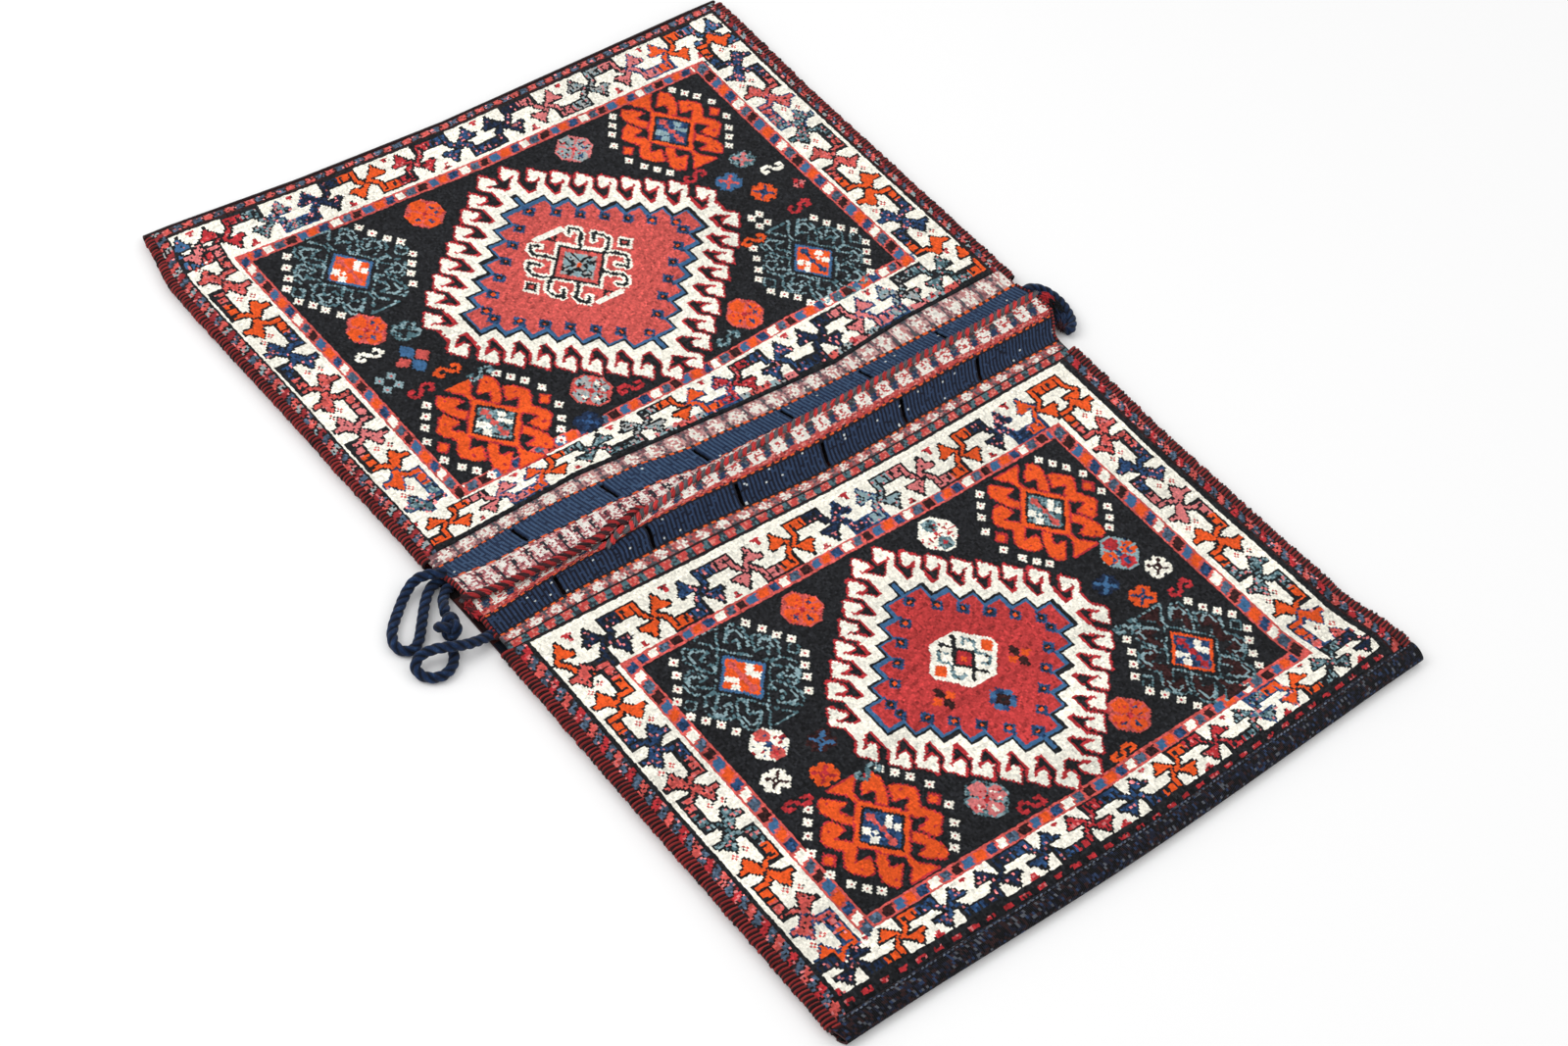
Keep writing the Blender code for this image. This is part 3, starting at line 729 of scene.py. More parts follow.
# The near pouch's chart.
near = chart(FRONT_B, "black")
s0, s1 = FRONT_B["s"]
t0, t1 = FRONT_B["t"]
box(near, s0, t0, s1, t1, "black")
box(near, 97, 896, 1001, 1500, "ivory")
for at in np.arange(s0, s1, 26.0):
    box(near, at, 1504, at + 13, 1512, "red")
each(border_run, near,
     (141, 1000, 942, 33.0, ("orange", "black", "orange", "navy", "pink", "orange", "black", "pale",
                             "pink", "orange", "black", "orange"), True, 73.5),
     (992, 1436, 132, 29.0, ("coral", "orange", "navy", "coral", "teal", "orange"), True, 72.5, True),
     (992, 1436, 962, 31.0, ("orange", "coral", "navy", "pink", "orange", "teal"), False, 72.5, True),
     (98, 1010, 1474, 24.0, ("teal", "black", "orange", "navy", "black", "navy", "red", "navy",
                             "orange", "red", "teal", "orange"), False, 72.0))
each(box, near, (s0, t0, 96, t1, "black"), (1002, t0, s1, t1, "black"))
side_reds = ("coral", "slate", "red", "slate")
each(barber_run, near, (t0, t1, s0, 92, side_reds, 13.0, True),
     (t0, t1, 1009, s1, side_reds, 13.0, True))
box(near, 170, 980, 920, 1446, "black")
each(guard_run, near, (168, 922, 978, 996), (168, 922, 1431, 1448, False, 2),
     (978, 1448, 168, 190, True, 1), (978, 1448, 899, 921, True, 3))
medallion(near, 541, 1218, 32, 25.2, 22.2, 6, "madder")
fill(near, ((518, 1164), (560, 1164), (592, 1198), (592, 1208), (558, 1243), (518, 1243), (488, 1210),
            (488, 1198)), "ivory")
for flip_s in (-1, 1):
    for curl, width, colour in (
            (((10, -34), (0, -21), (12, -32)), 4.6, "black"), (((0, 20), (11, 32)), 4.6, "black"),
            (((20, -26), (29, -14), (20, 0), (31, 15), (22, 24), (15, 19)), 4.6, "teal"),
            (((20, -26), (14, -18)), 4.0, "teal")):
        stroke(near, set_at(curl, 540, 1203, flip_s), width, colour)
    diamond(near, 540 + flip_s * 39, 1203, 11, 12, "orange")
nest(near, 540, 1203, (20, 22, "black"), (14, 15, "red"), (5, 5, "orange"))
for a in range(8):
    angle = math.pi * (a + 0.5) / 4
    diamond(near, 538 + 13 * math.cos(angle), 1278 + 12 * math.sin(angle), 7.5, 7.5,
            "blue" if a % 2 else "navy")
nest(near, 538, 1278, (12, 12, "brown"), (4, 3, "grey"))
for s in (476, 603):
    four_lobes(near, s, 1238, "brown", "orange", 16.0)
each(ram_horns, near, (286, 1076, "teal", "teal", "blue", "orange", ("ivory", "coral")),
     (797, 1082, "orange", "red", "black", "teal", ("ivory", "coral")),
     (284, 1346, "orange", "red", "black", "navy", ("ivory", "coral")),
     (795, 1359, "teal", "teal", "orange", "navy", ("ivory", "red")))
each(rosette, near, (416, 1033, "coral", "orange", "navy"), (647, 1032, "ivory", "teal", "red"),
     (419, 1381, "teal", "pink", "ivory"), (656, 1384, "coral", "orange", "navy"),
     (832, 1188, "pale", "red", "orange", "navy", 28.0, 28.0),
     (249, 1175, "ivory", "coral", "red", "navy", 26.0, 24.0))
each(aster, near, (222, 1221, "ivory", "brown"), (277, 1246, "orange", "red"),
     (306, 1205, "brown", "blue"), (859, 1234, "ivory", "brown"), (806, 1258, "orange", "navy"),
     (779, 1217, "night", "blue"))
each(ess, near, (223, 1262, "red", 1), (324, 1272, "teal", -1), (459, 1416, "red", 1),
     (859, 1275, "red", -1), (752, 1282, "teal", 1), (607, 1421, "orange", -1))


def on_front(front, s, t):
    """Where a place of the chart lies on the bag, whose rows sag and bow as in use."""
    shifts = np.array([np.interp(s, *np.array(line, float).T) for _, line in front["lines"]])
    marks = np.array([mark for mark, _ in front["lines"]], float)
    flat_t = np.broadcast_to(t, np.broadcast(s, t).shape)
    i = np.clip(np.searchsorted(marks, flat_t) - 1, 0, len(marks) - 2)
    k = np.clip((flat_t - marks[i]) / (marks[i + 1] - marks[i]), 0.0, 1.0)
    wide = np.broadcast_to(shifts, (len(marks), *flat_t.shape)) if shifts.ndim == 1 else shifts
    low = np.take_along_axis(wide, i[None], 0)[0]
    high = np.take_along_axis(wide, (i + 1)[None], 0)[0]
    y = (795.3 - flat_t - low - (high - low) * k) * UNIT - 0.0028
    a = (s - front["s"][0]) / (front["s"][1] - front["s"][0])
    left = eased(LEFT_EDGE, y) + front["inset"][0]
    right = eased(RIGHT_EDGE, y) - front["inset"][1]
    return left + (right - left) * a, y


def rolling(x, y):
    """The low rise and fall of a bag that lies as it fell."""
    return (0.00045 * np.sin(x * 17.0 + 1.0) * np.cos(y * 13.0 + 0.6)
            + 0.00030 * np.sin(x * 41.0 + y * 29.0))


def dyed_wool(name, roughness, sheen, dye, textures, tones, bump, part_of=0, share=None):
    """Wool in the colour of each yarn. The first texture mottles it, and all of them raise it."""
    material, tree, shader, coords = woollen(name, roughness, sheen)
    colour = node(tree, dye[0], **dye[1])
    made = [node(tree, kind, **facts) for kind, facts in textures]
    waves = [texture.outputs["Fac"] for texture in made]
    shade = node(tree, "ShaderNodeMapRange", From_Min=0.25, From_Max=0.75, To_Min=tones[0],
                 To_Max=tones[1])
    tint = node(tree, "ShaderNodeVectorMath", operation="SCALE")
    raised = node(tree, "ShaderNodeBump", Strength=bump[0], Distance=bump[1])
    join(tree, *((coords.outputs["Object"], texture.inputs["Vector"]) for texture in made),
         (waves[0], shade.inputs[0]), (colour.outputs["Color"], tint.inputs[0]),
         (shade.outputs[0], tint.inputs["Scale"]), (tint.outputs[0], shader.inputs["Base Color"]),
         (raised.outputs[0], shader.inputs["Normal"]))
    height = waves[0]
    if share is not None:
        relief = node(tree, "ShaderNodeMath", operation="MULTIPLY_ADD")
        relief.inputs[1].default_value = share
        join(tree, (waves[part_of], relief.inputs[0]), (waves[1 - part_of], relief.inputs[2]))
        height = relief.outputs[0]
    join(tree, (height, raised.inputs["Height"]))
    return material


NOISE, WAVE = "ShaderNodeTexNoise", "ShaderNodeTexWave"
FACE_DYE = ("ShaderNodeVertexColor", {"layer_name": "yarn"})
tufts = (NOISE, {"Scale": 620.0, "Detail": 3.0, "Roughness": 0.65})
hairs = (NOISE, {"Scale": 2600.0, "Detail": 1.0})
pile_wool = dyed_wool("pile wool", 0.95, 0.05, FACE_DYE, (tufts, hairs), (0.72, 1.22), (0.6, 0.0009),
                      part_of=1, share=0.35)
wefts = (NOISE, {"Scale": 900.0, "Detail": 3.0, "Roughness": 0.6})
ribs = (WAVE, {"bands_direction": "X", "Scale": 225.0, "Distortion": 1.2, "Detail": 1.0,
               "Detail_Scale": 3.0})
flat_wool = dyed_wool("flat-woven wool", 0.9, 0.05, FACE_DYE, (wefts, ribs), (0.70, 1.25),
                      (0.7, 0.0008), share=0.55)

CROSSING = -0.167
CROSSING_HALF = 0.024
LAP = 0.015
LAP_AT_CROSSING = 0.003
FLAP_FOOT, FLAP_RISE, CROSSING_RISE, FLAP_STEP = 0.0075, 0.0020, 0.0016, 0.0020
FLAP_TOP, FLAP_THICK = 0.0026, 0.0023
FLAP_COLUMN = 3.2
SLITS, SLIT_PITCH = 6, 0.0902
KNOT_SHIFT, PILE_ROUGH, RIM_SINK = 0.75, 0.00034, 0.0011


def flap_reach(front, x):
    """How far the flap runs: to the meeting line where it lies on top, and past it below."""
    far_side = front is FRONT_A
    meeting = eased(MEETING, x)
    away = np.clip((np.abs(x - CROSSING) - 0.7 * CROSSING_HALF) / 0.028, 0.0, 1.0)
    lap = LAP_AT_CROSSING + (LAP - LAP_AT_CROSSING) * away * away * (3 - 2 * away)
    on_top = (x < CROSSING) == far_side
    return np.where(on_top, meeting, meeting - lap if far_side else meeting + lap)


def flap_height(front, x):
    """The flap's lower face over its outer part: the upper flap rides on the other."""
    far_side = front is FRONT_A
    away = np.clip(np.abs(x - CROSSING) / CROSSING_HALF, 0.0, 1.0)
    away = away * away * (3 - 2 * away)
    on_top = (x < CROSSING) == far_side
    step = np.where(on_top, FLAP_STEP, -FLAP_STEP)
    return FLAP_FOOT + FLAP_RISE + CROSSING_RISE * (1 - away) + step * away


def blue_width(front, x):
    """How wide the blue band is."""
    if front is FRONT_A:
        return eased(((-0.32, 0.0145), (-0.27, 0.0210), (-0.20, 0.0250), (-0.125, 0.0225),
                      (0.05, 0.0160), (0.32, 0.0140)), x)
    return eased(((-0.32, 0.0200), (-0.15, 0.0235), (0.05, 0.026), (0.32, 0.0235)), x)


def pick(chance, *shares):
    """A yarn's colour, each colour given with the share up to which it is taken."""
    return next(colour for share, colour in shares if chance < share)


def strip_colour(k, run, far_side, chance):
    """The narrow wrapped strip next to the pile: light lozenges, and on the near pouch a red row."""
    if k > 0.90:
        return (238, 100, 40) if (run / 8.5) % 1.0 < 0.5 else (46, 36, 40)
    if not far_side and k < 0.48:
        if k < 0.05 or k > 0.42:
            return (40, 28, 32)
        if (run / 16.4 + (0.06 if k < 0.24 else 0.0)) % 1.0 < 0.56:
            return pick(chance, (0.7, (206, 74, 70)), (1, (228, 132, 120)))
        return (84, 118, 126) if chance < 0.55 and 0.10 < k < 0.38 else (50, 56, 64)
    v = k / 0.90 if far_side else (k - 0.48) / 0.42
    p = (run / 21.0) % 1.0
    if abs(p - 0.5) < 0.32 - 0.22 * abs(v - 0.5) * 2:
        return pick(chance, (0.66, (244, 238, 228)), (1, (206, 140, 136)))
    if min(p, 1 - p) < 0.04 + 0.12 * abs(2 * v - 1):
        return pick(chance, (0.6, (84, 84, 90)), (1, (150, 104, 108)))
    if far_side:
        return pick(chance, (0.55, (204, 160, 156)), (0.85, (132, 84, 90)), (1, (236, 226, 216)))
    return pick(chance, (0.6, (182, 78, 76)), (0.85, (216, 150, 142)), (1, (84, 60, 64)))


def blue_colour(k, far_side, column, chance):
    """The blue band: light and deep wefts by turns, with a few stray pale threads."""
    if k < 0.04 or k > 0.96:
        return (20, 20, 30)
    if chance < (0.002 if far_side else 0.008):
        return (208, 214, 214)
    light, deep = ((60, 84, 116), (30, 46, 74)) if far_side else ((44, 62, 92), (14, 20, 38))
    return light if (column + (chance > 0.95)) % 2 else deep


def band_colour(k, run, far_side, chance):
    """The wide wrapped band: light and dark hooks on the far pouch, lozenges on the near one."""
    if k < 0.06:
        return (238, 100, 40) if (run / (13.0 if far_side else 8.5)) % 1.0 < 0.5 else (36, 32, 42)
    if far_side:
        p, v = (run / 15.6) % 1.0, (k - 0.06) / 0.94
        waist = abs(2 * ((v * 1.5 + 0.1) % 1.0) - 1)
        off = abs(p - 0.28 - 0.12 * (v - 0.5))
        if off < 0.21 - 0.10 * waist and 0.06 < v < 0.95:
            if off < 0.05 and abs(v - 0.80) < 0.06:
                return (84, 70, 76)
            return pick(chance, (0.78, (246, 240, 232)), (1, (186, 104, 110)))
        if abs(p - 0.78) < 0.17 - 0.12 * waist and 0.12 < v < 0.86:
            return pick(chance, (0.66, (44, 46, 54)), (0.82, (226, 212, 204)), (1, (128, 62, 72)))
        return pick(chance, (0.34, (214, 148, 148)), (0.70, (146, 74, 82)), (1, (238, 226, 216)))
    if k < 0.12:
        return pick(chance, (0.3, (40, 28, 34)), (1, (196, 70, 64)))
    if k < 0.24 or k > 0.84:
        return pick(chance, (0.62, (200, 76, 72)), (0.85, (226, 140, 130)), (1, (132, 44, 50)))
    p = (run / 23.5) % 1.0
    tilt = abs(p - 0.5 - 0.22 * (k - 0.54))
    if tilt < 0.28:
        hole = tilt < 0.07 and abs(k - 0.54) < 0.14
        return (198, 78, 76) if (hole and chance < 0.5) or chance > 0.82 else (248, 242, 232)
    slant = (p + 0.5) % 1.0 - 0.5 - 0.55 * (k - 0.54)
    if abs(slant) < 0.15 and 0.30 < k < 0.76:
        return pick(chance, (0.75, (34, 56, 90) if k < 0.54 else (58, 58, 64)), (1, (92, 104, 112)))
    return pick(chance, (0.5, (198, 84, 80)), (0.75, (226, 150, 140)), (1, (88, 70, 76)))


def knot_colours(front, sheet, s, t, rng):
    """Each knot's own tone: dark wools vary most, red fields are hatched, and no two rows are alike."""
    dye, shape = sheet["dye"], sheet["dye"].shape

    def among(*names):
        return np.isin(dye, [INDEX[name] for name in names])

    dark = among("black", "night", "brown", "slate", "navy")
    tone = 1.0 + rng.normal(0, 1.0, shape) * np.where(dark, 0.40, 0.12)
    mixed = among("teal", "grey")
    dye[mixed & (rng.random(shape) < 0.42)] = INDEX["pale"]
    dye[mixed & (rng.random(shape) < 0.16)] = INDEX["black"]
    low_s, high_s, low_t, high_t = front["border"]
    beside, beyond = (s[1:] < low_s) | (s[1:] > high_s), (t[1:] < low_t) | (t[1:] > high_t)
    figured = ~among("ivory", "black", "brown", "orange") & (beside[None, :] | beyond[:, None])
    dye[figured & (rng.random(shape) < 0.13)] = INDEX["black"]
    dye[figured & (rng.random(shape) < 0.12)] = INDEX["pink"]
    hatched = among("coral", "red", "madder")
    column, row = np.meshgrid(np.arange(shape[1]), np.arange(shape[0]))
    streak = np.sin(row * 1.3 + column * 0.55 + 2.0 * np.sin(column * 0.11)) * rng.random(shape)
    tone += np.where(hatched, 0.22 * streak + 0.16 * rng.normal(0, 1, shape), 0.0)
    tone += np.where(dark & (rng.random(shape) < 0.11), 0.9, 0.0)
    tone += 0.07 * np.sin(column * 0.043 + 1.1) * np.sin(row * 0.057 + 0.4)
    count = len(t)
    pairs = np.repeat(rng.normal(0, 0.05, count // 2 + 2), 2)[: count - 1]
    stops = np.arange(0, count + 12, 12)
    slow = np.interp(np.arange(count - 1), stops, rng.normal(0, 0.05, len(stops)))
    tone *= (1 + 0.6 * pairs + slow)[:, None]
    dyes = DYES[dye].copy()
    dyes[..., :3] *= np.clip(tone, 0.45, 2.2)[..., None]
    return dyes


def around_edge(grid):
    """The numbers round the edge of a grid, in order."""
    return np.concatenate([grid[0, :-1], grid[:-1, -1], grid[-1, :0:-1], grid[:0:-1, 0]])


def pile_panel(front, sheet, rng):
    """The knotted panel: its knots, the walls round it and its underside."""
    s = np.append(sheet["s"] - KNOT / 2, sheet["s"][-1] + KNOT / 2)
    t = np.append(sheet["t"] - KNOT / 2, sheet["t"][-1] + KNOT / 2)
    columns, rows = len(s), len(t)
    ss, tt = np.meshgrid(s, t)
    loose = np.zeros(ss.shape)
    loose[1:-1, 1:-1] = 1.0
    wobble = np.cumsum(rng.normal(0, 0.10, ss.shape), axis=1)
    wobble -= np.linspace(0, 1, columns)[None, :] * wobble[:, -1:]
    js = ss + rng.uniform(-KNOT_SHIFT, KNOT_SHIFT, ss.shape) * loose
    drift = rng.uniform(-KNOT_SHIFT, KNOT_SHIFT, ss.shape) + 0.5 * np.clip(wobble, -1.5, 1.5)
    x, y = on_front(front, js, tt + drift * loose)
    z = PILE_TOP - 0.0004 + rolling(x, y) + rng.uniform(-PILE_ROUGH, PILE_ROUGH, ss.shape)
    rim = np.minimum(np.minimum(ss - s[0], s[-1] - ss), np.minimum(tt - t[0], t[-1] - tt)) / KNOT
    z -= RIM_SINK * np.clip(1 - rim / 1.6, 0, 1) ** 2
    drop, over = front["sink"]
    from_end = tt - t[0] if front is FRONT_A else t[-1] - tt
    z -= drop * np.clip((over - from_end) / over, 0, 1) ** 2
    knots = np.stack([x, y, z], -1).reshape(-1, 3)
    grid = np.arange(rows * columns).reshape(rows, columns)
    quads = np.stack([grid[1:, :-1], grid[1:, 1:], grid[:-1, 1:], grid[:-1, :-1]], -1).reshape(-1, 4)
    dyes = knot_colours(front, sheet, s, t, rng)
    loop = around_edge(grid)
    loop_dye = np.concatenate([dyes[0, :], dyes[:, -1], dyes[-1, ::-1], dyes[::-1, 0]])
    foot = knots[loop].copy()
    foot[:, 2] = np.minimum(PILE_FOOT, foot[:, 2] - 0.0014)
    base, count = rows * columns, len(loop)
    ring = base + np.arange(count)
    walls = np.stack([loop, np.roll(loop, -1), np.roll(ring, -1), ring], -1)
    top = list(range(base, base + columns))
    last = base + 2 * (columns - 1) + rows - 1
    bottom = list(range(last, last - columns, -1))
    under = [[top[i], top[i + 1], bottom[i + 1], bottom[i]] for i in range(columns - 1)]
    under[0][3:] = range(last, base + count)
    under[-1][1:3] = range(top[-1], bottom[-1] + 1)
    # The walls round the panel are painted in their edge knots' colours at four fifths: painted shade on
    # the sides.
    paint = [dyes.reshape(-1, 4), loop_dye * np.array([0.8, 0.8, 0.8, 1.0]),
             np.tile(linear((196, 186, 168)), (len(under), 1))]
    return [knots, foot], quads.tolist() + walls.tolist() + under, paint


def slit_flap(front, edge_t, first, rng):
    """The flat-woven flap: an upper and a lower face, with walls along the edges and the slits."""
    far_side = front is FRONT_A
    sign = 1.0 if far_side else -1.0
    s0, s1 = front["s"]
    across = np.arange(s0 + 1.0, s1, FLAP_COLUMN)
    fx, start_y = on_front(front, across, np.full(across.shape, edge_t))
    mouth = eased(front["mouth"], fx)
    mouth = np.where(sign * (start_y - mouth) < 0.004, start_y - sign * 0.004, mouth)
    reach = flap_reach(front, fx) + sign * 0.0030
    blue = mouth - sign * np.minimum(blue_width(front, fx), np.abs(mouth - reach) - 0.002)
    lines, bands = [], []
    for band, (a, b) in enumerate(((start_y, mouth), (mouth, blue), (blue, reach))):
        rows = front["flap_rows"][band]
        for k in range(rows):
            lines.append(a + (b - a) * k / rows)
            bands.append((band, (k + 0.5) / rows))
    lines.append(reach)
    fy = np.array(lines)
    steps, wide = fy.shape
    height = flap_height(front, fx)
    lift = np.clip(np.clip((fy - mouth) / (reach - mouth), 0.0, 1.0) / 0.6, 0, 1)
    lift = lift * lift * (3 - 2 * lift)
    fz = FLAP_FOOT * (1 - lift) + height[None, :] * lift + FLAP_TOP
    fz += rolling(fx[None, :], fy) * 0.5 + rng.uniform(-0.00012, 0.00012, fy.shape)
    fz += 0.0007 * (1 - np.abs(2 * np.clip((start_y - fy) / (start_y - mouth), 0, 1) - 1)) * (
        sign * (fy - mouth) > 0)
    spread_x = -0.3150 + front["flap_width"] * (across - s0) / (s1 - s0)
    fxx = fx + (spread_x - fx) * lift + rng.uniform(-0.00025, 0.00025, fy.shape)
    fyy = fy + rng.uniform(-0.00022, 0.00022, fy.shape)
    fyy[0] = start_y + sign * 0.0004
    upper_face = np.stack([fxx, fyy, fz], -1)
    lower_face = upper_face - (0.0, 0.0, FLAP_THICK)
    dye = np.zeros((steps - 1, wide - 1, 3))
    for r, (band, k) in enumerate(bands):
        for c in range(wide - 1):
            run, chance = fx[c] * 1000.0, rng.random()
            dye[r, c] = (strip_colour(k, run, far_side, chance) if band == 0 else
                         blue_colour(k, far_side, c, chance) if band == 1 else
                         band_colour(k, run, far_side, chance))
    dyes = linear(dye)
    dyes[..., :3] *= np.clip(1 + rng.normal(0, 0.09, dye.shape[:2]), 0.7, 1.35)[..., None]
    keep = np.ones((steps - 1, wide - 1), bool)
    strip_rows, blue_rows, _ = front["flap_rows"]
    middle = (fx[:-1] + fx[1:]) / 2
    for n in range(SLITS):
        c = int(np.argmin(np.abs(middle - front["first_slit"] - SLIT_PITCH * n)))
        keep[strip_rows + 1:strip_rows + blue_rows - 1, c:c + 2] = False
    drop = steps * wide
    grid = first + np.arange(drop).reshape(steps, wide)
    low = grid + drop
    upper = np.stack([grid[1:, :-1], grid[1:, 1:], grid[:-1, 1:], grid[:-1, :-1]], -1)
    lower = np.stack([low[:-1, :-1], low[:-1, 1:], low[1:, 1:], low[1:, :-1]], -1)
    if not far_side:
        upper, lower = upper[..., ::-1], lower[..., ::-1]
    filled = np.pad(keep, 1)
    walls, wall_paint = [], []
    for r, c in np.argwhere(keep):
        a, b, d, e = (int(v) for v in (grid[r, c], grid[r, c + 1], grid[r + 1, c + 1], grid[r + 1, c]))
        for full, p, q in ((filled[r, c + 1], a, b), (filled[r + 1, c + 2], b, d),
                           (filled[r + 2, c + 1], d, e), (filled[r + 1, c], e, a)):
            if not full:
                wall = [p, q, q + drop, p + drop]
                walls.append(wall if far_side else wall[::-1])
                # Painted shade: the slit and edge walls take their wefts' colours at seven tenths.
                wall_paint.append(dyes[r, c] * np.array([0.7, 0.7, 0.7, 1.0]))
    # Painted shade: the flap's lower face takes the upper face's colours at six tenths.
    paint = [dyes[keep], dyes[keep] * np.array([0.6, 0.6, 0.6, 1.0]), np.array(wall_paint)]
    faces = upper[keep].tolist() + lower[keep].tolist() + walls
    edge = (fx, reach, height, upper_face[strip_rows:])
    return [upper_face.reshape(-1, 3), lower_face.reshape(-1, 3)], faces, paint, edge


def front_piece(front, sheet, seed):
    """The panel and its flap as one mesh, and the line of the flap's free edge."""
    rng = np.random.default_rng(seed)
    places, faces, paint = pile_panel(front, sheet, rng)
    pile_faces = len(faces)
    ends = sheet["t"][-1] + KNOT / 2 if front is FRONT_A else sheet["t"][0] - KNOT / 2
    flap = slit_flap(front, ends, sum(len(part) for part in places), rng)
    made = piece(f"pouch_front_{front['name']}", np.vstack(places + flap[0]), faces + flap[1],
                 pile_wool, np.vstack(paint + flap[2]))
    made.data.materials.append(flat_wool)
    kinds = np.zeros(len(made.data.polygons), int)
    kinds[pile_faces:] = 1
    made.data.polygons.foreach_set("material_index", kinds)
    return made, flap[3]


flap_lines = {}
for front, sheet, seed in ((FRONT_A, far, 11), (FRONT_B, near, 23)):
    made, flap_lines[front["name"]] = front_piece(front, sheet, seed)
    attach(made, "root")
    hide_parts("pile_face_" + front["name"])

# The back of the bag
# One long flat-woven cloth carries both pouches. It turns up over a cord at the far end, and at
# the near end it is rolled forward into a round hem, caught down with pale stitches.
ROLL_WIDTH, ROLL_HEIGHT = 0.0195, 0.0115
CLOTH_COLUMNS, CLOTH_THICK, CLOTH_LOW = 300, 0.0022, 0.0006
ROLL_YARNS = ((12, 12, 17), (26, 30, 46), (46, 28, 29), (88, 92, 100), (44, 60, 90))
ROLL_SHARES = (0.44, 0.25, 0.19, 0.06, 0.06)
BACK_STRIPES = ((38, 26, 28), (96, 34, 38), (26, 40, 66), (60, 26, 30))
wefts = (NOISE, {"Scale": 700.0, "Detail": 3.0, "Roughness": 0.6})
ribs = (WAVE, {"bands_direction": "X", "Scale": 205.0, "Distortion": 1.0, "Detail": 1.0})
back_wool = dyed_wool("back wool", 0.92, 0.05, FACE_DYE, (wefts, ribs), (0.65, 1.30), (0.8, 0.0008),
                      share=0.5)


def far_line(x):
    """The far edge of the cloth, where it sags towards the middle."""
    s = 560 + x / UNIT
    return on_front(FRONT_A, np.clip(s, *FRONT_A["s"]), np.full(np.shape(x), FRONT_A["t"][0]))[1]


def near_line(x):
    """The near edge of the cloth, outside its rolled hem."""
    return -eased(((-0.33, 0.4740), (0.0, 0.4815), (0.33, 0.4770)), x)


rng = np.random.default_rng(5)
columns = np.linspace(0.0, 1.0, CLOTH_COLUMNS)
centre_x = -0.32 + 0.64 * columns
end_y, start_y = far_line(centre_x), near_line(centre_x)
profile = [("far", 0.0044 * math.sin(angle), 0.0048 - 0.0036 * math.cos(angle))
           for angle in np.linspace(0.0, math.pi, 7)[::-1]]
profile += [("span", 1.0 - k, CLOTH_LOW) for k in np.linspace(0.0, 1.0, 90)]
profile += [("roll", math.sin(angle), math.cos(angle))
            for angle in np.linspace(0.15, 1.75 * math.pi, 20)]
ring = []
for kind, a, b in profile:
    if kind == "far":
        y, z = end_y + 0.001 + a, b
    elif kind == "span":
        y, z = start_y + 0.0100 + (end_y - start_y - 0.0100) * a, b
    else:
        y = start_y + ROLL_WIDTH / 2 - ROLL_WIDTH / 2 * a
        z = ROLL_HEIGHT / 2 - (ROLL_HEIGHT / 2 - CLOTH_LOW) * b
    left, right = eased(LEFT_EDGE, y) + 0.0035, eased(RIGHT_EDGE, y) - 0.0045
    if kind == "roll":
        left, right = left - 0.0018, right + 0.0025
    ring.append(np.stack([left + (right - left) * columns, y, np.full(CLOTH_COLUMNS, z)], -1))
ring = np.array(ring)
ring[..., 2] += rng.uniform(-0.00010, 0.00010, ring.shape[:2]) + 0.0001
normal = np.cross(np.gradient(ring, axis=1), np.gradient(ring, axis=0))
normal /= np.maximum(np.linalg.norm(normal, axis=-1), 1e-9)[..., None]
if normal[40, 150, 2] < 0:
    normal = -normal
inside = ring + normal * CLOTH_THICK
ring[..., 2] = np.maximum(ring[..., 2], 0.0002)
inside[..., 2] = np.maximum(inside[..., 2], 0.0004)
count = len(ring) * CLOTH_COLUMNS
grid = np.arange(count).reshape(len(ring), CLOTH_COLUMNS)
skin = np.stack([grid[:-1, :-1], grid[:-1, 1:], grid[1:, 1:], grid[1:, :-1]], -1)
lining = skin[..., ::-1] + count
edge = around_edge(grid)
ahead = np.roll(edge, -1)
faces = [*skin.reshape(-1, 4).tolist(), *lining.reshape(-1, 4).tolist(),
         *np.stack([edge, edge + count, ahead + count, ahead], -1).tolist()]
paint = np.zeros((len(ring) - 1, CLOTH_COLUMNS - 1, 3))
for r, (kind, a, b) in enumerate(profile[:-1]):
    if kind == "span":
        paint[r] = BACK_STRIPES[int(a * 24) % 4] if int(a * 96) % 4 else (150, 66, 60)
    elif kind == "far":
        paint[r] = (44, 30, 34)
    else:
        paint[r] = [ROLL_YARNS[int(rng.choice(5, p=ROLL_SHARES))] for _ in range(CLOTH_COLUMNS - 1)]
paint = linear(paint)
paint[..., :3] *= np.clip(1 + rng.normal(0, 0.1, paint.shape[:2]), 0.6, 1.4)[..., None]
# Painted shade: the cloth's upper face under the pouches, seen through the slits, and the inside of the
# rolled hem take the cloth's colours at a quarter.
shaded_lining = paint * np.array([0.25, 0.25, 0.25, 1.0])
edge_paint = np.tile(linear((60, 34, 36)), (len(edge), 1))
cloth = piece("kilim_cloth", np.vstack([ring.reshape(-1, 3), inside.reshape(-1, 3)]), faces,
              back_wool, np.vstack([paint.reshape(-1, 4), shaded_lining.reshape(-1, 4), edge_paint]))
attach(cloth, "root")
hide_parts("kilim_back")

